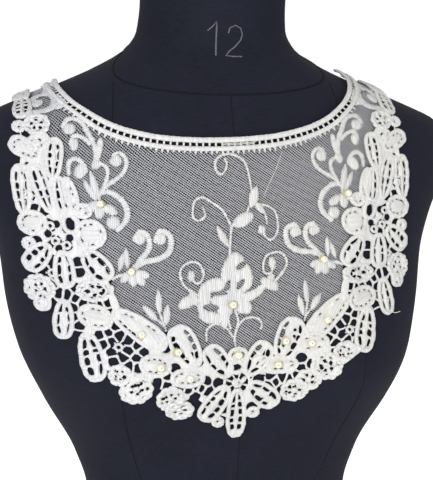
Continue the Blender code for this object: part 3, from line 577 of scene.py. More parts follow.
def yarn_finish(name, cool, warm, pitch, waver, contrast, bump, roughness, sheen):
    """White yarn: its tint over the piece with painted shade in the grooves between threads, and its threads as a fine
    relief.
    """
    finish, tree, shader = new_finish(name, Roughness=roughness, Sheen_Weight=sheen, Specular_IOR_Level=0.3)
    height = add_node(tree, "ShaderNodeGroup", {"Pitch": pitch, "Waver": waver, "Contrast": contrast},
                      node_tree=THREAD_ROWS)
    tint = {"Cool": (*cool, 1), "Warm": (*warm, 1), "Shade": height.node.outputs["Shade"]}
    dress(tree, shader, add_node(tree, "ShaderNodeGroup", tint, node_tree=YARN_TINT), height, bump, 0.0003)
    return finish


TULLE = yarn_finish("white tulle", (0.50, 0.51, 0.545), (0.49, 0.495, 0.515), 1.6, 0.6, 0.3, 0.3, 0.75, 0.1)
NET = net_outline(NET_TUCK)
SLACK = [(across, before_pull(down)) for across, down in NET]
net_lace = Lace()
for angle, pitch, wide, high, rise in NET_THREADS:
    way = np.array((math.cos(math.radians(angle)), math.sin(math.radians(angle))))
    beside = np.array((-way[1], way[0]))
    reaches = np.asarray(SLACK) @ beside
    for k, reach in enumerate(np.arange(reaches.min() + 0.5, reaches.max(), pitch)):
        for enter, leave in crossings(SLACK, beside * reach, way):
            if leave - enter > 1.5:
                t = np.linspace(enter, leave, max(2, math.ceil((leave - enter) / NET_STEP) + 1))
                waver = 0.12 * np.sin(t * 0.21 + k * 1.7)
                path = beside * reach + t[:, None] * way + waver[:, None] * beside
                path[:, 1] = after_pull(path[:, 1])
                net_lace.cord(path, wide, high, rise, sides=4, blunt=True)
net = net_lace.worn_as("net_threads", NET_LIFT, TULLE, "tulle", "net_panel")


# ---- Guipure border
# Heavy chemical lace: thick cotton cords stitched round petals, medallions and picots, with slots and pinholes left
# open between them, all held together by thin bride bars. It is sewn over the net's edge.

# Petals: side, base across, base down, tip across, tip down, width, slots either side of the vein (0 is padded)
PETALS = [
    ("both", 137, -113, 137, -88, 15, 0), ("both", 137, -92, 137, -62, 15, 0), ("both", 136, -66, 137, -32, 16, 2),
    ("both", 125, -3, 146, -16, 16, 0), ("both", 117, 13, 114, -17, 14.5, 3), ("both", 138, 36, 140, 1, 15, 3),
    ("both", 119.5, 35, 130, 1, 14, 3), ("both", 113.5, 10, 109.5, 37, 14, 3), ("both", 122, 56, 139, 74, 18, 2),
    ("both", 114, 60, 112.5, 87, 16.5, 3), ("both", 99, 61, 83, 82, 19, 2), ("both", 129, 88, 129, 103, 13, 0),
    ("both", 114.5, 94, 117, 122, 15.5, 3), ("left", 102, 117, 96, 151, 18, 4), ("right", 99, 114, 89, 146, 18, 4),
    ("both", 83, 103, 50, 130, 19, 0), ("both", 30, 144, 43.5, 115, 22, 2), ("both", 6, 152, 22.5, 130, 19, 2),
    ("left", 8, 158, 26, 186, 19, 2), ("right", 7, 158, 28, 177, 19, 2), ("right", -1, 161, -1.5, 202, 16, 4),
]
PETAL_BASE_FULL, PETAL_FULL = 0.72, 0.8
SLOT_SPAN, SLOT_PITCH, SLOT_BAR = (0.13, 0.86), 6.2, 1.3
SLOT_WIDE = {2: 3.7, 3: 2.6, 4: 3.9}
# Rounds: side, how it is worked, across, down, length, width, tilt (outer end down, degrees)
ROUNDS = [
    ("both", "picot", 139.5, -26, 10, 10, 0), ("both", "wheel", 126.5, -27, 19, 17, 0),
    ("both", "padded", 127, -13, 15, 13, 0), ("both", "padded", 105.5, 23, 26, 10, 105),
    ("both", "padded", 98, 34, 13, 11, 0), ("both", "padded", 133, 41.5, 21, 18, 0),
    ("both", "picot", 136, 56, 10, 10, 0), ("both", "ring", 134.5, 23, 8, 8, 0),
    ("both", "ring", 118, 54, 7.5, 7.5, 0), ("both", "ring", 121, 43.5, 7.5, 7.5, 0),
    ("both", "ring", 110.5, 57, 7, 7, 0), ("both", "padded", 94, 50, 22, 21, 0), ("both", "ring", 121.5, 76, 11, 11, 0),
    ("both", "wheel", 93.5, 88.5, 26, 16, 0), ("both", "wheel", 130.5, 87, 21, 20, 0),
    ("both", "padded", 94.7, 107, 25, 18, -20), ("both", "cord", 81, 99, 22, 5.5, 104),
    ("both", "ring", 81.5, 128.5, 10, 10, 0), ("left", "wheel", 82, 147, 15, 14, 0),
    ("left", "wheel", 72, 157, 23, 20, 25), ("right", "wheel", 76, 143, 17, 14, 0),
    ("right", "wheel", 62, 151, 23, 18, 20), ("left", "padded", 58.5, 141.5, 22, 16, 0),
    ("right", "padded", 54, 134, 23, 15, 0), ("left", "padded", 36.5, 150.5, 25, 14, 0),
    ("right", "padded", 28.5, 146.5, 29, 13, 0), ("left", "wheel", 49, 165, 20, 19, 0),
    ("left", "wheel", 42.5, 175, 20, 17, 0), ("right", "wheel", 49, 159, 18, 16, 0),
    ("right", "wheel", 39.5, 166, 20, 17, 0), ("right", "padded", 0, 137, 11, 15, 90),
    ("right", "heart", -1, 157, 19, 18, 0), ("left", "picot", 14.5, 187.5, 9.5, 9.5, 0),
    ("right", "picot", 11, 181.5, 9.5, 9.5, 0),
]
EYES = [("both", 107, 42.5, 9, 6.5, 110), ("right", -1.5, 145.7, 7.5, 4.5, 0)]
# Gaps in the medallions and pads, as read on the form, by side: across, down, length, width, tilt
SMALL_GAPS = {
    "both": [
        (142, 3, 3, 1.6, 20), (133, 5.5, 2.6, 1.4, 90), (138.7, 12, 5, 1.7, 75), (136.5, 18.5, 6, 2.2, 70),
        (133, 25, 5, 2.3, 50), (128, 15, 4.6, 3, 60), (123.7, 21.5, 2.6, 2.2, 0), (119.5, 26, 4.6, 2, 80),
        (115.3, 28, 4, 1.5, 90), (134.5, -8, 4.6, 2.2, 85), (132, -13.5, 2.6, 2.2, 90), (141.7, -41.5, 2.8, 2.2, 90),
        (131, -22, 3, 2, 90), (135, -25, 2.4, 1.6, 40), (146, 10, 2.6, 2.2, 0), (144.5, 23, 4, 1.4, 80),
        (141.5, 22.5, 4, 1.6, 100), (143.5, 41.5, 2.6, 2, 60), (140, 40.6, 2.6, 1.4, 0), (136.3, 41, 2.6, 1.2, 0),
        (142.5, 46.5, 2.4, 1.4, -40), (138.5, 48.5, 4, 1.5, -35), (107, 58, 2.4, 2.6, 0), (104.8, 56, 4, 1.5, -70),
        (125, 46, 2.2, 2.4, 0), (137.5, 84, 5.5, 1.6, 90), (135, 93.5, 2.6, 1.6, 90), (131, 93.5, 3.4, 2, -50),
        (134, 97.5, 2.6, 2, -40), (105, 88, 3, 2.2, 100), (91.5, 92, 3, 2.2, 90), (97, 94.5, 2.2, 1.8, 0),
        (103.5, 92, 3.6, 1.3, 25), (107.5, 92, 2, 1.4, 60), (95.5, 89, 1.8, 1.4, 0), (98.5, 83.2, 2.6, 2, 0),
        (92, 85.5, 4.4, 2, 30)
    ],
    "left": [
        (81, 151.5, 3, 2.4, 0), (74, 157, 3, 2.4, 30), (70, 155.5, 2.6, 2, 80), (79, 155, 2.4, 1.8, 0),
        (71.5, 161, 2.8, 2, 0), (66, 159, 2.6, 2, 90), (55, 166.5, 3.2, 2.6, 20), (44, 169.5, 3.4, 1.8, 10),
        (48, 171, 2.8, 1.5, 60), (46, 176, 2, 1.4, 0), (40, 173, 1.8, 1.2, 0), (38, 177, 1.6, 1.2, 0),
        (77.5, 116.5, 4, 3.2, 30), (73.5, 122, 4.5, 2.6, 60), (48, 126.5, 3, 3, 0), (47, 130.2, 2.8, 2, 0),
        (35, 136, 3.6, 2.2, 80), (39, 139, 2, 1.4, 80), (43.3, 151.7, 2.8, 1.4, 0), (23, 154.5, 3.4, 2.4, 0)
    ],
    "right": [
        (70.5, 109, 4, 2.4, 110), (68.5, 112, 2.4, 2, 0), (27, 129.5, 5, 2, 100), (30.5, 132, 3, 1.6, 80),
        (39, 122, 2.6, 2, 0), (38.5, 126.5, 2.6, 2, 60), (57, 150, 2.8, 2.2, 0), (63, 148, 2.6, 2, 0),
        (70, 142.5, 2.6, 2, 0), (60, 146.5, 2.2, 1.8, 0), (45, 157.5, 2.8, 2.2, 0), (35, 161.5, 2.8, 2.2, 0),
        (38, 162, 2, 1.6, 0), (33, 165.5, 2.4, 2, 0), (9.5, 168, 3, 2.6, 0), (15.5, 170.5, 4.4, 2, -10),
        (20, 164, 3, 2.4, 0), (15.5, 161, 3.4, 1.4, 30), (22, 168, 2.4, 1.6, 80), (15, 153, 6, 2.4, 0),
        (8, 153, 3.6, 1.5, 110), (12, 143.5, 2.8, 1.4, 140), (16.5, 136, 5, 2.2, 90), (10.2, 136, 3, 2.6, 60),
        (23, 136, 4, 3.2, 0), (5.2, 133.5, 2.8, 1.6, 110), (4.6, 139, 4.4, 2, 80)
    ],
}
GROUND = [(136, -60), (139, -25), (138, -12), (140, 10), (140, 30), (136, 45), (134, 58), (136, 72), (128, 86),
          (116, 100), (116, 112), (104, 118), (96, 140), (86, 146), (74, 152), (62, 152), (50, 162), (40, 168),
          (33, 163), (24, 172), (14, 181), (-2, 190), (-2, 142), (20, 138), (36, 126), (46, 122), (60, 120),
          (76, 108), (84, 92), (88, 78), (96, 62), (94, 50), (102, 38), (106, 24), (114, 10), (114, -12),
          (124, -26), (130, -40), (133, -60)]
BRIDE_GAPS = [
    (134, -21), (136.5, -33.5), (131, 32.5), (125.5, 34), (122.5, 41), (117, 42.5), (110.5, 46), (108.5, 52),
    (110, 58), (116, 59), (121.5, 56.5), (123, 49), (131, 54.5), (122, 67), (127.5, 77), (126, 84), (121.5, 84),
    (118, 80), (104, 69), (103.5, 75), (118, 89.5), (112, 90.5), (107, 86.5), (107, 93), (110, 100), (109.5, 107),
    (102, 96.5), (96, 97.5), (91, 98.5), (86, 97), (84, 105), (82.5, 114), (80.5, 120.5), (74.5, 124), (69, 127.5),
    (75.5, 131), (66, 132), (70, 136.5), (79, 136), (70, 142), (76, 141), (86, 131), (87.5, 118), (92.5, 119.5),
    (90.5, 125.5), (86, 124), (85, 138), (106, 112.5), (107.5, 119), (50.5, 129), (45, 144), (51, 149), (45, 150),
    (57, 152.5), (52, 154), (41.5, 156), (36, 158), (31, 156), (26.5, 158), (31.5, 164), (22, 161), (14.5, 156),
    (10, 177), (28.5, 139), (23.5, 154),
]
BRIDE_BAR, BRIDE_REACH = 1.2, 4.2
# The side flowers' hearts have a closer ground: middle, radius, reach of a gap
HEART, HEART_ROUND, HEART_REACH = (116, 49), 13.0, 2.7
SHELF, SLOPE = 6.0, 8.0
RIM_WIDE, RIM_HIGH = 2.9, 2.3
VEIN_WIDE, VEIN_HIGH = 1.8, 2.0
DASH_PITCH, DASH_WIDE = 4.2, 0.8
WEB_RISE, WEB_THICK, WEB_ROUND, WEB_STEP = 0.2, 1.75, 1.5, 1.35


RNG = np.random.RandomState(7)


def each_side(rows):
    """Each row of a half table with the sign of the side that it is drawn on."""
    for side, *row in rows:
        if side != "left":
            yield 1, row
        if side != "right":
            yield -1, row


def mirrored(outline):
    """The same outline on the other side of the centre line."""
    return [(-across, down) for across, down in outline]


def oval_place(across, down, along, beside, tilt):
    """Pattern places of points given along and beside a motif's long axis, which is turned by tilt."""
    c, s = math.cos(math.radians(tilt)), math.sin(math.radians(tilt))
    return np.column_stack([across + along * c - beside * s, down + along * s + beside * c])


def round_outline(across, down, length, width, tilt, points=12):
    """An oval with its long axis turned by tilt."""
    angle = 2 * np.pi * np.arange(points) / points
    return oval_place(across, down, length / 2 * np.cos(angle), width / 2 * np.sin(angle), tilt)


def petal_frame(base, tip):
    """Turns shares along a petal and distances beside its vein into pattern places."""
    base, run = np.array(base, float), np.subtract(tip, base)
    beside = np.array([-run[1], run[0]]) / np.hypot(*run)
    return lambda share, off: base + run * share + beside * off


def petal_full(share):
    """A petal is narrower towards its base."""
    return PETAL_BASE_FULL + (1 - PETAL_BASE_FULL) * share ** 0.6


def petal_half_width(share, width):
    """Half the width of a petal at a share of its length: narrow at its base, with full shoulders."""
    middle = np.abs(1 - 2 * share) ** (1 / PETAL_FULL)
    return np.sqrt(np.clip(1 - middle ** 2, 0, 1)) ** PETAL_FULL * width / 2 * petal_full(share)


def petal_outline(base, tip, width, grow=0.0, points=14):
    """A petal seen flat, grown or drawn in all round."""
    place = petal_frame(base, tip)
    length = math.dist(base, tip)
    angle = 2 * np.pi * np.arange(points) / points
    share = (1 - np.sign(np.cos(angle)) * np.abs(np.cos(angle)) ** PETAL_FULL) / 2
    side = np.sign(np.sin(angle)) * np.abs(np.sin(angle)) ** PETAL_FULL * (width / 2 * petal_full(share) + grow)
    return np.array([place(s + grow / length * (2 * s - 1), off) for s, off in zip(share, side)])


def petal_slots(base, tip, width, count):
    """The slots between a petal's vein and its rim, parted by short bars."""
    place = petal_frame(base, tip)
    length = math.dist(base, tip)
    first, last = SLOT_SPAN
    number = max(count, round((last - first) * length / SLOT_PITCH))
    bar = SLOT_BAR / length
    step = (last - first) / number
    slots, bars = [], []
    for side in (-1, 1):
        stops = first + step * (np.arange(number + 1) + RNG.uniform(-0.2, 0.2, number + 1))
        for k in range(number):
            shares = np.linspace(stops[k] + bar / 2, stops[k + 1] - bar / 2 * RNG.uniform(0.8, 1.6), 5)
            outer = np.maximum(petal_half_width(shares, width) - RIM_WIDE * 0.85, VEIN_WIDE * 0.5 + 0.8)
            inner = np.maximum(outer - SLOT_WIDE[count] * RNG.uniform(0.7, 1.15), VEIN_WIDE * 0.45)
            lens = (outer - inner) * np.array((0.26, 0.07, 0, 0.05, 0.22))
            slots.append([place(s, side * off) for s, off in zip(shares, inner + lens)]
                         + [place(s, side * off) for s, off in zip(shares[::-1], (outer - lens)[::-1])])
            if k:
                bars.append([place(stops[k] + slant / length, side * off) for off, slant in
                             ((inner[0] - 0.6, -0.7), ((inner[0] + outer[0]) / 2, 0), (outer[0] + 0.8, 0.7))])
    return slots, bars


def dash_row(outer, inner, pitch, filled=0.6, missing=0.0):
    """A row of short slots between two loops drawn with as many points, some of them closed by stitches."""
    length = np.append(0, np.cumsum(np.linalg.norm(np.diff(np.vstack([outer, outer[:1]]), axis=0), axis=1)))
    number = max(4, round(length[-1] / pitch))
    row = []
    for k in range(number):
        if RNG.uniform() < missing:
            continue
        at = (k + np.array((-filled / 2, 0, filled / 2)) + 0.5) / number * length[-1]
        edges = [np.column_stack([np.interp(at, length, np.append(loop[:, c], loop[0, c])) for c in (0, 1)])
                 for loop in (outer, inner)]
        row.append(np.vstack([edges[0], edges[1][::-1]]))
    return row


def inside(points, outline):
    """Which points lie inside an outline."""
    x, y = np.asarray(points, float).T
    hit = np.zeros(len(x), bool)
    outline = [tuple(p) for p in outline]
    for (x0, y0), (x1, y1) in zip(outline, outline[1:] + outline[:1]):
        crosses = (y0 > y) != (y1 > y)
        hit ^= crosses & (x < (x1 - x0) * (y - y0) / (y1 - y0 + 1e-12) + x0)
    return hit


def distance_to(points, outline):
    """Distance from each point to the nearest edge of an outline."""
    points = np.asarray(points, float)
    nearest = np.full(len(points), np.inf)
    outline = [np.asarray(p, float) for p in outline]
    for a, b in zip(outline, outline[1:] + outline[:1]):
        run = b - a
        t = np.clip((points - a) @ run / (run @ run), 0, 1)
        nearest = np.minimum(nearest, np.linalg.norm(points - a - t[:, None] * run, axis=1))
    return nearest


def from_form(across, down):
    """The pattern place of a point read on the form."""
    place = across + (YOKE_TIP - max(down, 0)) * YOKE_TURN
    return place, down + place * YOKE_TURN * min(1, max(0.2, (down + 60) / 150))


NET_UNDER = net_outline(2.2)


def border_lift(flat):
    """Over the net near its edge, and down onto the form further out."""
    outside = np.where(inside(flat, NET_UNDER), 0, distance_to(flat, NET_UNDER))
    fall = np.clip((outside - SHELF) / SLOPE, 0, 1)
    return LACE_LIFT - (LACE_LIFT - NET_LIFT) * fall * fall * (3 - 2 * fall)


def web(lace, solids, holes, ground, cells, rise, thick, spacing, plump=0.0):
    """The stitched ground under the cords: solids and ground joined, with holes and cells left open."""
    outlines = [np.asarray(o, float) for o in [*solids, *holes, *ground, *cells]]
    points, faces = [], []
    for outline in outlines:
        faces.append(list(range(len(points), len(points) + len(outline))))
        points += [Vector(p) for p in (outline if winding(outline) > 0 else outline[::-1])]
    low, high = np.min([o.min(0) for o in outlines], 0), np.max([o.max(0) for o in outlines], 0)
    for r, down in enumerate(np.arange(low[1], high[1], spacing * 0.87)):
        points += [Vector((x, down)) for x in np.arange(low[0] + spacing / 2 * (r % 2), high[0], spacing)]
    corners, _, triangles, _, _, owners = delaunay_2d_cdt(points, [], faces, 1, 1e-4)
    first_hole, first_ground = len(solids), len(solids) + len(holes)
    first_cell = first_ground + len(ground)
    kept = []
    for triangle, held in zip(triangles, owners):
        in_hole = any(first_hole <= k < first_ground for k in held)
        in_motif = any(k < first_hole for k in held)
        in_ground = any(first_ground <= k < first_cell for k in held)
        if not in_hole and (in_motif or (in_ground and not any(k >= first_cell for k in held))):
            kept.append(triangle)
    used = sorted({k for t in kept for k in t})
    index = {k: n for n, k in enumerate(used)}
    flat = np.array([tuple(corners[k]) for k in used])
    edges = {(index[t[i]], index[t[(i + 1) % 3]]) for t in kept for i in range(3)}
    rim = [(a, b) for a, b in edges if (b, a) not in edges]
    height = np.full(len(flat), float(thick))
    if plump:
        tree = KDTree(2 * len(rim))
        for n, (a, b) in enumerate(rim):
            tree.insert((*flat[a], 0), 2 * n)
            tree.insert((*(flat[a] + flat[b]) / 2, 0), 2 * n + 1)
        tree.balance()
        near = np.array([tree.find((*p, 0))[2] for p in flat])
        height = thick * (0.35 + 0.65 * np.sqrt(np.clip(near / plump, 0, 1)))
    n = len(flat)
    faces = [[index[t[0]], index[t[2]], index[t[1]]] for t in kept]
    faces += [[index[k] + n for k in t] for t in kept]
    faces += [[a, b, b + n, a + n] for a, b in rim]
    both = np.vstack([flat, flat])
    lace.add(both, np.append(rise + height, np.full(n, rise)), faces, [tuple(both[k]) for f in faces for k in f])


def lumpy_ring(row, inset, lumps=1, deep=0.0, phase=0.0, points=56):
    """A ring drawn in from a round's outline, a little out of true and with a lumpy edge."""
    across, down, length, width, tilt = row
    angle = 2 * np.pi * np.arange(points) / points
    swell = 1 + deep * np.abs(np.cos(lumps / 2 * angle + phase)) - deep * 0.6 + 0.03 * np.sin(2 * angle + phase * 3)
    return oval_place(across, down, (length / 2 - inset) * swell * np.cos(angle),
                      (width / 2 - inset) * swell * np.sin(angle), tilt)


def wheel_gaps(row, inner, outer, count, phase, filled=0.66):
    """Open gaps between a round's spokes, from shares of its size."""
    loops = [lumpy_ring((*row[:2], row[2] * share, row[3] * share, row[4]), 0, points=60) for share in (outer, inner)]
    return dash_row(*[np.roll(loop, round(phase / (2 * math.pi) * 60), axis=0) for loop in loops],
                    2 * math.pi * (row[2] + row[3]) / 4 * outer / count, filled)


def bride_cell(seed, seeds, reach):
    """A gap in the bride ground: what lies nearer to this seed than to its neighbours, less half a bar."""
    seed = np.asarray(seed, float)
    cell = list(round_outline(*seed, reach * 2, reach * 2, 20, 10))
    for other in seeds:
        run = other - seed
        far = float(np.hypot(*run))
        if far < 1e-6 or far > 4 * BRIDE_REACH:
            continue
        run = run / far
        limit = far / 2 - BRIDE_BAR / 2
        clipped = []
        for p, q in zip(cell, cell[1:] + cell[:1]):
            out_p, out_q = (p - seed) @ run - limit, (q - seed) @ run - limit
            if out_p <= 0:
                clipped.append(p)
            if out_p * out_q < 0:
                clipped.append(p + (q - p) * (out_p / (out_p - out_q)))
        cell = clipped
    return cell


def softened(loop):
    """A loop with its corners cut, as thread draws them round."""
    loop = np.array(loop)
    after = np.roll(loop, -1, axis=0)
    return np.stack([loop * 0.75 + after * 0.25, loop * 0.25 + after * 0.75], 1).reshape(-1, 2)


def bride_bars(seeds):
    """Centre lines of the bars between neighbouring gaps."""
    bars = []
    for i, a in enumerate(seeds):
        for b in seeds[i + 1:]:
            run = b - a
            far = float(np.hypot(*run))
            if far >= 2 * BRIDE_REACH or far < 1e-6:
                continue
            middle, way = (a + b) / 2, np.array((-run[1], run[0])) / far
            low, high = -math.sqrt(BRIDE_REACH ** 2 - far * far / 4), math.sqrt(BRIDE_REACH ** 2 - far * far / 4)
            for c in seeds:
                if c is a or c is b:
                    continue
                out = c - a
                rate, room = way @ out, out @ out / 2 - (middle - a) @ out
                if abs(rate) < 1e-9:
                    continue
                if rate > 0:
                    high = min(high, room / rate)
                else:
                    low = max(low, room / rate)
            if high - low > 0.8:
                bars.append(np.array([middle + way * low, middle + way * (low + high) / 2, middle + way * high]))
    return bars


COTTON = yarn_finish("white guipure", (0.82, 0.82, 0.85), (0.84, 0.83, 0.79), 0.9, 0.6, 0.3, 1.0, 0.62, 0.1)
petals_lace, rounds_lace, web_lace = Lace(), Lace(), Lace()
MOTIFS, HOLES = [], []


def stitched_rim(lace, loop, wide, high):
    """A cord round a motif, a little uneven as it is stitched."""
    uneven = 1 + 0.07 * np.sin(np.arange(len(loop)) * 1.3 + RNG.uniform(0, 6)) + RNG.uniform(-0.06, 0.06, len(loop))
    lace.cord(loop + RNG.uniform(-0.1, 0.1, (len(loop), 2)), wide * uneven, high * uneven, closed=True)


def padded_middle(lace, ring, small, grain):
    """Inside a rim: a few short slots where the stitches part, and a raised pad."""
    HOLES.extend(dash_row(ring(3.2), ring(3.2 + DASH_WIDE), DASH_PITCH, 0.45, 0.4))
    if small > 17:
        HOLES.extend(dash_row(ring(6.2), ring(6.8), DASH_PITCH, 0.4, 0.5))
    if small / 2 - 4.4 > 0.8:
        lace.pad(ring(4.2), 2.4, grain=grain)


for sign, (ba, bd, ta, td, width, count) in each_side(PETALS):
    base, tip = (sign * ba, bd), (sign * ta, td)
    length = math.dist(base, tip)
    place = petal_frame(base, tip)
    MOTIFS.append(petal_outline(base, tip, width, -0.8, 32))
    points = max(32, round(length * 1.6))
    stitched_rim(petals_lace, petal_outline(base, tip, width, -RIM_WIDE / 2, points), RIM_WIDE, RIM_HIGH)
    if count > 0:
        shares = np.linspace(0.04, 0.86, max(6, round(length / 2)))
        petals_lace.cord([place(s, 0) for s in shares], VEIN_WIDE * (1 + 0.12 * np.sin(shares * 3.4)), VEIN_HIGH)
        slots, bars = petal_slots(base, tip, width, count)
        HOLES += slots
        for bar in bars:
            petals_lace.cord(bar, 0.95, 1.0, 0.5, sides=6)
    else:
        padded_middle(petals_lace, lambda inset: petal_outline(base, tip, width, -inset, 60), width, 30 * sign)
for sign, (worked, across, down, length, width, tilt) in each_side(ROUNDS):
    row = (sign * across, down, length, width, sign * tilt)
    small, phase = min(length, width), RNG.uniform(0, 6)
    ring = lambda inset: lumpy_ring(row, inset, points=60)
    if worked != "heart":
        MOTIFS.append(lumpy_ring(row, 0.9, points=30))
    if worked == "cord":
        rounds_lace.pad(ring(0), 2.2, grain=row[4] + 90)
    elif worked == "picot":
        stitched_rim(rounds_lace, ring(1.5), 3.0, 2.3)
        HOLES.append(ring(small / 2 - 0.8))
    elif worked == "ring":
        stitched_rim(rounds_lace, ring(small / 2 - 2.2), 1.7, 1.9)
        HOLES.append(ring(small / 2 - 1.3))
        HOLES += wheel_gaps(row, 6.2 / small, 1.12, 6, phase, 0.7)
    elif worked == "padded":
        stitched_rim(rounds_lace, ring(1.5), 3.0, 2.2)
        padded_middle(rounds_lace, ring, small, row[4] + 90)
    elif worked == "heart":
        MOTIFS.append(lumpy_ring(row, -0.5, points=30))
        HOLES += wheel_gaps(row, 0.34, 0.86, 8, phase, 0.74)
        stitched_rim(rounds_lace, ring(small / 2 - 2.4), 1.8, 2.2)
        HOLES.append(ring(small / 2 - 1.3))
    else:
        lumps = max(5, round((length + width) * 1.57 / 6.5))
        stitched_rim(rounds_lace, lumpy_ring(row, 1.5, lumps, 0.13, phase, 72), 2.9, 2.4)
        HOLES += dash_row(ring(2.8), ring(3.6), (length + width) * 1.57 / lumps, 0.3, 0.2)
        HOLES += wheel_gaps(row, 4.4 / small, min((small - 7.4) / small, 8.4 / small), 5, phase, 0.45)
        stitched_rim(rounds_lace, lumpy_ring((*row[:2], 3.8 * length / small, 3.8, row[4]), 0.8, points=16), 1.6, 2.3)
for side, gaps in SMALL_GAPS.items():
    read = 1 if side == "right" else -1
    for across, down, length, width, tilt in gaps:
        place, fall = from_form(read * across, down)
        for sign in (1, -1) if side == "both" else (read,):
            HOLES.append(round_outline(sign * read * place, fall, length, width, sign * tilt, 12))
for sign, (across, down, length, width, tilt) in each_side(EYES):
    HOLES.append(round_outline(sign * across, down, length, width, sign * tilt, 16))
    stitched_rim(rounds_lace, round_outline(sign * across, down, length + 3, width + 3, sign * tilt, 30), 3.0, 2.4)
# Two small raised pads of the guipure's cotton sit in the bottom flower's heart, and one thread end hangs loose on the
# right
for across, down, length, width, tilt in ((-2, 156.5, 6, 4, 80), (3.6, 155, 5.6, 3, 130)):
    rounds_lace.pad(round_outline(across, down, length, width, tilt, 18), 2.6)
rounds_lace.cord(smooth_path([(119, 119), (124, 121.5), (130, 121.5)], 1.0), 0.55, 0.5, 0.2, sides=6)
SEEDS = [np.array(p, float) for p in BRIDE_GAPS + mirrored(BRIDE_GAPS)]
CELLS = [softened(bride_cell(seed, SEEDS, HEART_REACH if math.dist(np.abs(seed), HEART) < HEART_ROUND else BRIDE_REACH))
         for seed in SEEDS]
HEADING_BAND = [tuple(p) for p in offset_path(neckline_path(4.0), 0.3)]
HEADING_BAND += [tuple(p) for p in offset_path(neckline_path(4.0), -10.9)[::-1]]
web(web_lace, MOTIFS, [*HOLES, HEADING_BAND], [GROUND, mirrored(GROUND)], CELLS, WEB_RISE,
    WEB_THICK, WEB_STEP, WEB_ROUND)
bars_lace = Lace()
for bar in bride_bars(SEEDS):
    if not any(inside([bar[1]], motif)[0] for motif in MOTIFS):
        bar[1] += RNG.uniform(-0.25, 0.25, 2)
        bars_lace.cord(bar, RNG.uniform(1.15, 1.5), 1.3, 0.2, sides=6)
border = [
    petals_lace.worn_as("border_petals", border_lift, COTTON, "guipure_cotton", "guipure_border"),
    rounds_lace.worn_as("border_medallions", border_lift, COTTON, "guipure_cotton", "guipure_border"),
    web_lace.worn_as("border_ground", border_lift, COTTON, "guipure_cotton", "guipure_border"),
    bars_lace.worn_as("border_brides", border_lift, COTTON, "guipure_cotton", "guipure_border"),
]


# ---- Neckline heading
# The ladder edging: two plump stitched bands with short posts between them, and small teeth that catch the net.
# The form shows black through its holes.

UPPER_BAND, LOWER_BAND = (2.0, 3.9, 2.3), (8.3, 3.4, 2.1)
POST_PITCH, POST_WIDE = 4.45, 1.4
TOOTH_PITCH, TOOTH_WIDE = 3.7, 1.7

heading_lace = Lace()
edge = neckline_path(1.5)
for inward, wide, high in (UPPER_BAND, LOWER_BAND):
    band = offset_path(edge, -inward)
    length = np.append(0, np.cumsum(np.linalg.norm(np.diff(band, axis=0), axis=1)))
    knobs = 1 + 0.04 * np.sin(length * 1.7) + RNG.uniform(-0.05, 0.05, len(band))
    heading_lace.cord(band, wide * knobs, high * knobs, sides=12)
for inward in (4.7, 5.7):
    strand = offset_path(edge, -inward)
    strand = strand[(strand[:, 0] > 0) & (strand[:, 0] < 25)]
    heading_lace.cord(strand + RNG.uniform(-0.25, 0.25, (len(strand), 2)), 0.5, 0.5, 1.0, sides=5)
run = np.gradient(edge, axis=0)
run /= np.linalg.norm(run, axis=1)[:, None]
INWARD = np.column_stack([-run[:, 1], run[:, 0]])
LENGTH = np.append(0, np.cumsum(np.linalg.norm(np.diff(edge, axis=0), axis=1)))


def inward_cords(pitch, depths, wide, high, rise, loose=0.0):
    """Short cords across the heading at an even pitch, their ends even or a little loose."""
    for at in np.arange(pitch / 2, LENGTH[-1], pitch):
        here = np.array([np.interp(at, LENGTH, edge[:, 0]), np.interp(at, LENGTH, edge[:, 1])])
        into = np.array([np.interp(at, LENGTH, INWARD[:, 0]), np.interp(at, LENGTH, INWARD[:, 1])])
        reach = 1 + RNG.uniform(-loose, loose)
        path = [here + into * (depths[0] + (depth - depths[0]) * reach) for depth in depths]
        heading_lace.cord(path, wide, high, rise)


inward_cords(POST_PITCH, (3.2, 5.2, 7.2), POST_WIDE, 0.5, 0.6)
inward_cords(TOOTH_PITCH, (9.0, 10.4, 11.7), (2.1, TOOTH_WIDE, 0.9), 1.2, -0.2, 0.35)
heading = heading_lace.worn_as("heading_bands", LACE_LIFT, COTTON, "guipure_cotton", "neckline_heading")


# ---- Embroidered sprays
# Satin stitch in a soft white thread on the net: scrolls and tendrils worked across their width, and flowers,
# leaves and buds filled with long upright stitches that leave a fringed edge.

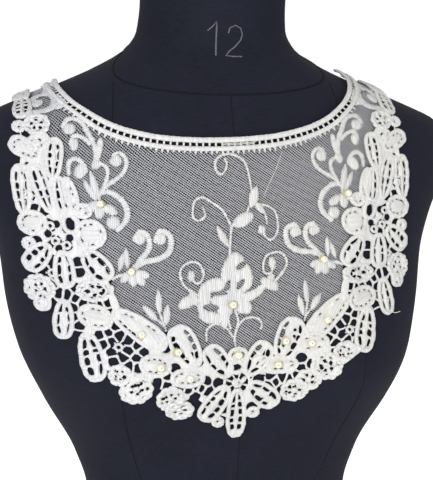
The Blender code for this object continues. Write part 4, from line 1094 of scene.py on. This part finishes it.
SHOULDER = (
    [(6.4, [(131, -56), (125, -65), (117, -64), (113, -56), (114, -47), (119, -41), (128, -39)]),
     (3.4, [(111, -60), (108, -52), (106, -47)])],
    [(126, -52, 12, 8.5, 70), (109, -46, 12, 6, 40), (118, -72, 20, 7, 80)],
)
UPPER_SPRAY = (
    [
        (4, [(109, -25), (104.5, -31), (96.5, -29), (91.5, -20), (87.5, -10), (87, 0)]),
        (3.4, [(104, -12), (101.5, -18), (95.5, -17), (91, -13)]),
        (4.8, [(83.5, -15), (84.5, -9), (87, 0)]),
        (3, [(86, 1), (80.5, 4), (80, 10.5), (84, 20)]),
        (3.2, [(75.5, -4), (71.5, -6), (67.5, -3), (66.5, 2), (69, 8), (74, 12.5), (81.5, 17.5), (87, 24)]),
        (3.4, [(106, 9), (105.5, 1), (101, -2), (96.5, 1), (94, 7)]),
        (4.2, [(86, 22), (80, 21.5), (74, 25), (70, 30), (68.5, 37), (71, 43), (75.5, 47)]),
        (3, [(88, 28), (95, 31), (98, 32)]),
    ],
    [(104.5, -23.5, 9, 8.5, 0), (101.5, -12, 9, 6, 80), (87, 2, 8, 6.5, 60), (73.5, -0.5, 9, 8.5, 80),
     (98, 6.5, 12, 8, 60),
     (92.5, 31.5, 13, 6.5, 25), (87, 34, 12, 7, 80), (80.5, 33.5, 12, 6.5, 150), (89, 17.5, 23, 5.2, 104),
     (92.5, 20.5, 18, 4.6, 118), (78.5, 42.5, 9.5, 9, 0)],
)
LOWER_SPRAY = (
    [
        (4, [(65, 55), (61.5, 49.5), (56.5, 51.5), (55, 57.5), (57, 63), (62.5, 69), (67, 75)]),
        (4.4, [(51, 56), (47.5, 49.5), (41.5, 52), (40.5, 58), (43, 64.5), (50.5, 68.5), (59.5, 70), (67, 74)]),
        (2.6, [(70, 79), (76, 78.5), (81, 80.5)]),
    ],
    [(61.5, 54, 8.5, 8, 90), (47.5, 54.5, 8.5, 8, 90), (71, 67, 15, 4.4, 92), (75, 69.5, 13, 4.4, 75),
     (72, 79.5, 10.5, 6, 40), (67.8, 81.5, 10.5, 7, 88), (63.5, 81.5, 10.5, 6.5, 122), (62, 78.3, 11.5, 6, -12),
     (67, 78, 11, 7, 0)],
)
LEAF_TRIO = (
    [(1.8, [(52, 106), (50.5, 112), (49, 118)]), (1.8, [(54, 110.5), (50.5, 114)])],
    [(52, 98, 18, 4.6, 88), (47.5, 107, 15, 5, 80), (58.5, 105.5, 15, 5.4, 128)],
)
CENTRE_SPRAY = (
    [
        (2, [(2, 0), (3, 4), (1, 9), (-2, 11), (-5, 8), (-5, 2), (-1.5, -2), (4.5, -3.6), (10.5, -2), (15.5, 2),
             (17.5, 8.5), (18.5, 17.5), (19, 25)]),
        (1.8, [(19, 33), (28, 34.5), (34, 39), (35.5, 46), (34.5, 54), (30, 59), (26, 57), (24, 52)]),
        (1.6, [(22, 33), (26, 38), (27.5, 44), (27.5, 48)]),
        (2, [(16, 34), (13, 41), (7.5, 45), (2.5, 48), (1, 55), (-0.5, 65), (-1, 72)]),
        (2, [(2, 48), (-3, 37), (-10, 31), (-16.5, 27), (-22, 29.5), (-24, 36.5), (-23.5, 41.5), (-19.5, 43),
             (-15.5, 39.5), (-17, 33.5)]),
        (2, [(-24, 95), (-33, 88.5), (-36, 80.5), (-34.5, 75), (-28.5, 71.5), (-22.5, 73), (-20, 79.5), (-22, 85),
             (-26, 86), (-28, 81)]),
        (2, [(28, 90), (35, 83.5), (39.5, 76.5), (37.5, 70), (32.5, 68), (25.5, 70), (22.5, 76), (23, 82), (28, 82),
             (29, 77)]),
        (4, [(4, 97), (13.5, 95.5), (20, 92), (27, 89)]),
        (1.8, [(-21.5, 126), (-21, 119), (-16, 115), (-11, 115.5), (-6, 119), (-3, 124)]),
        (1.8, [(-1, 124), (1, 118), (6, 113), (12, 112), (17, 114), (18.5, 118), (17, 121)]),
        (2.2, [(-6, 110), (-4, 118)]),
        (2, [(0, 106), (1.8, 113), (0.5, 119), (-1.5, 125), (-1, 133)]),
        (2.6, [(-28, 98), (-16, 98)]),
        (-0.35, [(44.3, -4.4), (38, 9), (31.5, 20), (27.2, 28.6)]),
    ],
    [(20, 28, 17, 7, 110), (11, 44, 17, 9, 153), (-4.5, 55, 17, 5.5, 65), (23.8, 51.5, 7, 6, 90),
     (23.5, 36, 11, 4.8, 55),
     (0, 77.5, 25, 13.5, 115), (3.5, 72, 11.5, 10.5, 0), (4.5, 81.5, 14, 12, 0), (10, 83.5, 19, 9, 88),
     (6.5, 92.5, 14, 5.5, 128), (0.3, 92, 20, 5.5, 95), (-12.5, 88, 17, 10, -8), (-20.5, 95, 19, 9.5, 100),
     (-22.5, 104, 14, 7.5, 80), (-16.5, 110.5, 19, 9, 10), (-9, 99.5, 15, 9, 5), (-7, 105.5, 12, 9.5, 20),
     (-7, 110.5, 17, 7, 100), (5.5, 103.5, 14, 11, 20), (8, 105.5, 9, 7, 45), (12, 97, 22, 7, -20), (-1, 98, 15, 13, 0),
     (-32, 98.5, 16, 8, -29), (-28, 96, 12, 6, 75), (-28.5, 81, 8, 5.5, 90), (29, 75.5, 9.5, 5.5, 90),
     (26, 90, 14, 8, 30), (27, 87, 10, 5.5, 105), (29.5, 91.5, 8, 6, 80)],
)
CENTRE_SLOTS = [(7, 75.6, 8.5, 3.8, 148), (5.4, 88.6, 8.5, 3.4, 130), (-4, 89, 8.5, 2.8, 118), (-9.5, 94, 10.6, 2.4, 4),
                (-16.6, 103.4, 11, 4.6, 5)]
STITCH_LIFT = 2.0
SATIN_HIGH, SATIN_FRINGE = 1.35, 1.5

SATIN = yarn_finish("white satin stitch", (0.73, 0.74, 0.77), (0.77, 0.76, 0.73), 1.3, 0.8, 0.42, 0.9, 0.5, 0.1)


def fringed(shape, deep):
    """An outline whose edge is frayed by the ends of its stitches."""
    middle = shape.mean(axis=0)
    fray = np.where(np.arange(len(shape)) % 2, deep, -deep) * RNG.uniform(0.2, 1, len(shape))
    return middle + (shape - middle) * (1 + fray / np.linalg.norm(shape - middle, axis=1))[:, None]


def leaf_outline(across, down, length, width, tilt, points):
    """A fill's outline: round where it is short, and drawn out to points where it is long."""
    angle = 2 * np.pi * np.arange(points) / points
    sharp = np.clip((length / width - 1.9) * 0.9, 0, 0.65)
    side = width / 2 * np.sin(angle) * np.abs(np.sin(angle)) ** sharp
    return oval_place(across, down, length / 2 * np.cos(angle), side, tilt)


def satin_spray(name, piece, drawing, sign, slots=()):
    """One spray: its lines as fringed cords, and each fill as a plump web of its own with any slots left open."""
    lines, fills = drawing
    lace = Lace()
    for width, points in lines:
        path = smooth_path([(sign * x, y) for x, y in points], 0.75)
        n = len(path)
        fringe = np.where(np.arange(n) % 2, 1, -1) * RNG.uniform(0.2, 1, n) * SATIN_FRINGE
        # A width below zero is a loose hair, laid plain
        if width < 0:
            lace.cord(path, -width, 0.35, -0.4, sides=5)
            continue
        taper = 0.8 + 0.14 * np.sin(np.linspace(0, math.pi, n))
        lace.cord(path + RNG.uniform(-0.06, 0.06, (n, 2)), width * taper + fringe, SATIN_HIGH)
    holes = [round_outline(sign * x, y, l, w, sign * t, 16) for x, y, l, w, t in slots]
    for k, (across, down, length, width, tilt) in enumerate(fills):
        around = max(28, round((length + width) * 1.57 / 0.7))
        shape = fringed(leaf_outline(sign * across, down, length, width, sign * tilt, around), SATIN_FRINGE * 0.6)
        web(lace, [shape], holes, [], [], 0.0, 1.5 + 0.12 * (k % 3), 1.2, plump=1.6)
    return lace.worn_as(piece, STITCH_LIFT, SATIN, "embroidery", name)


sprays = [
    satin_spray("scroll_shoulder_left", "stitched_shoulder_left", SHOULDER, -1),
    satin_spray("scroll_shoulder_right", "stitched_shoulder_right", SHOULDER, 1),
    satin_spray("spray_upper_left", "stitched_upper_left", UPPER_SPRAY, -1),
    satin_spray("spray_upper_right", "stitched_upper_right", UPPER_SPRAY, 1),
    satin_spray("spray_lower_left", "stitched_lower_left", LOWER_SPRAY, -1),
    satin_spray("spray_lower_right", "stitched_lower_right", LOWER_SPRAY, 1),
    satin_spray("leaves_left", "stitched_leaves_left", LEAF_TRIO, -1),
    satin_spray("leaves_right", "stitched_leaves_right", LEAF_TRIO, 1),
    satin_spray("spray_centre", "stitched_centre", CENTRE_SPRAY, 1, CENTRE_SLOTS),
]


# ---- Pearls
# Imitation pearls of 5 mm, sewn on through their holes and set in a little glue that has yellowed the thread
# round them.

# Across and down of each pearl, in the order of the nodes
PEARLS = [(-85.5, 30), (89.5, 29.5), (-68, 76.5), (66, 76), (-1.5, 102.5), (-65.5, 121), (64.5, 120), (-43, 133),
          (34.5, 130.5), (-55.5, 143), (52.5, 134.5), (-36, 150.5), (28.5, 146), (0, 137)]
PEARL_SIZE, PEARL_HOLE, PEARL_AROUND = 5.0, 0.5, 28
# The glue: its width either way, and its skirt's share of that width at each height below the bead's middle
GLUE_WIDE, GLUE_AROUND, GLUE_SKIRT = 3.1, 24, [(1.0, -2.75), (0.85, -2.35), (0.5, -1.9)]


def nacre_finish():
    """Cream nacre under a clear coat, with faint clouds."""
    finish, tree, shader = new_finish("cream nacre", Coat_Weight=0.6, Coat_Roughness=0.12, Specular_IOR_Level=0.6)
    clouds = noise(tree, add_node(tree, "ShaderNodeTexCoord", out="Object"), 700.0, 3.0)
    colour = two_tone(tree, clouds, 0.3, (0.74, 0.68, 0.52), 0.7, (0.86, 0.82, 0.70))
    dress(tree, shader, colour, clouds, 0.12, 0.0002, spread(tree, clouds, 0.18, 0.36))
    return finish


def round_hole(radii, up):
    """A ring of points round a bead's hole."""
    turns = [2 * math.pi * k / len(radii) for k in range(len(radii))]
    return [(radius * math.cos(turn), radius * math.sin(turn), up) for radius, turn in zip(radii, turns)]


NACRE = nacre_finish()
GLUE = thread_finish("yellowed glue", (0.42, 0.40, 0.22), (0.58, 0.56, 0.36), 900.0)
for number, (across, down) in enumerate(PEARLS, 1):
    low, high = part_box(f"pearl_{number:02d}")
    middle = (Vector(low) + Vector(high)) / 2
    _, normal = worn([(across, down)], 0)
    turn = Vector(normal[0]).to_track_quat("Z", "Y").to_matrix()
    half = PEARL_SIZE / 2
    lie = math.asin(PEARL_HOLE / half)
    profile = [(PEARL_HOLE * 0.8, -1.2), (PEARL_HOLE * 0.9, 1.9), (PEARL_HOLE, 2.35)]
    profile += [(half * math.sin(a), half * math.cos(a)) for a in np.linspace(lie * 1.25, math.pi * 0.97, 15)]
    points = [point for radius, up in profile for point in round_hole([radius] * PEARL_AROUND, up)]
    faces = [[face[0], face[3], face[2], face[1]] for face in ring_faces(len(profile), PEARL_AROUND)]
    faces += [list(range(PEARL_AROUND)), [(len(profile) - 1) * PEARL_AROUND + k for k in range(PEARL_AROUND)][::-1]]
    bead_faces, first = len(faces), len(points)
    turns = 2 * np.pi * np.arange(GLUE_AROUND) / GLUE_AROUND
    skirt = GLUE_WIDE + 0.35 * np.sin(turns * 3 + number) + RNG.uniform(-0.1, 0.1, GLUE_AROUND)
    for share, up in GLUE_SKIRT:
        points += round_hole(skirt * share, up)
    faces += ring_faces(3, GLUE_AROUND, first)
    faces += [[first + 2 * GLUE_AROUND + k for k in range(GLUE_AROUND)], [first + k for k in range(GLUE_AROUND)][::-1]]
    points = [tuple((middle + turn @ (Vector(p) * MM)) / MM) for p in points]
    bead = plain_object(f"bead_{number:02d}", points, faces, NACRE)
    bead.data.materials.append(GLUE)
    for face in bead.data.polygons[bead_faces:]:
        face.material_index = 1
    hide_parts(f"pearl_{number:02d}")


# ---- Studio
# A pale floor under the form, a white room, and soft lamps above and to both sides. The camera stands a little to
# the form's right side, slightly above the yoke.

CAMERA_TURN, CAMERA_RISE, CAMERA_FAR = -10.5, 8.0, 0.85
CAMERA_AIM = Vector((0.003, 0.0, 0.4))
# Lamps: name, place, size, power
LAMPS = [("lamp_left", (-0.85, -1.55, 0.8), 0.6, 22.5), ("lamp_right", (1.1, -1.5, 0.5), 0.9, 8.5),
         ("lamp_top", (0.1, 0.2, 1.9), 0.7, 3)]
LAMP_AIM = Vector((0, 0, 0.42))

camera_data = bpy.data.cameras.new("camera")
camera_data.lens, camera_data.sensor_width, camera_data.clip_start = 79.5, 36.0, 0.02
camera = placed("camera", camera_data)
turn, rise = math.radians(CAMERA_TURN), math.radians(CAMERA_RISE)
back = Vector((math.sin(turn) * math.cos(rise), -math.cos(turn) * math.cos(rise), math.sin(rise)))
camera.location = CAMERA_AIM + back * CAMERA_FAR
camera.rotation_euler = back.to_track_quat("Z", "Y").to_euler()
bpy.context.scene.camera = camera

for name, place, size, power in LAMPS:
    lamp_data = bpy.data.lights.new(name, "AREA")
    lamp_data.size, lamp_data.energy = size, power
    lamp = placed(name, lamp_data)
    lamp.location = place
    lamp.rotation_euler = (Vector(place) - LAMP_AIM).to_track_quat("Z", "Y").to_euler()


def glow(tree, lit, seen):
    """A strength that is less as light on the object than as seen by the camera."""
    return spread(tree, add_node(tree, "ShaderNodeLightPath", out="Is Camera Ray"), lit, seen)


world = bpy.data.worlds.new("white room")
world.use_nodes = True
room = world.node_tree
backdrop = room.nodes["Background"]
backdrop.inputs["Color"].default_value = (1, 1, 1, 1)
room.links.new(glow(room, 0.46, 1.05), backdrop.inputs["Strength"])
bpy.context.scene.world = world
bpy.context.scene.view_settings.view_transform = "Standard"

floor_finish, tree, shader = new_finish("pale floor", Roughness=0.9, Emission_Color=(1, 1, 1, 1))
grain = noise(tree, add_node(tree, "ShaderNodeTexCoord", out="Object"), 3.0, 4.0)
tree.links.new(two_tone(tree, grain, 0, (0.86, 0.86, 0.86), 1, (0.9, 0.9, 0.9)), shader.inputs["Base Color"])
tree.links.new(glow(tree, 0.1, 0.75), shader.inputs["Emission Strength"])
floor_mesh = bpy.data.meshes.new("floor")
floor_mesh.from_pydata([(-6, -6, 0), (6, -6, 0), (6, 6, 0), (-6, 6, 0)], [], [[0, 1, 2, 3]])
floor_mesh.materials.append(floor_finish)
floor = placed("floor", floor_mesh)
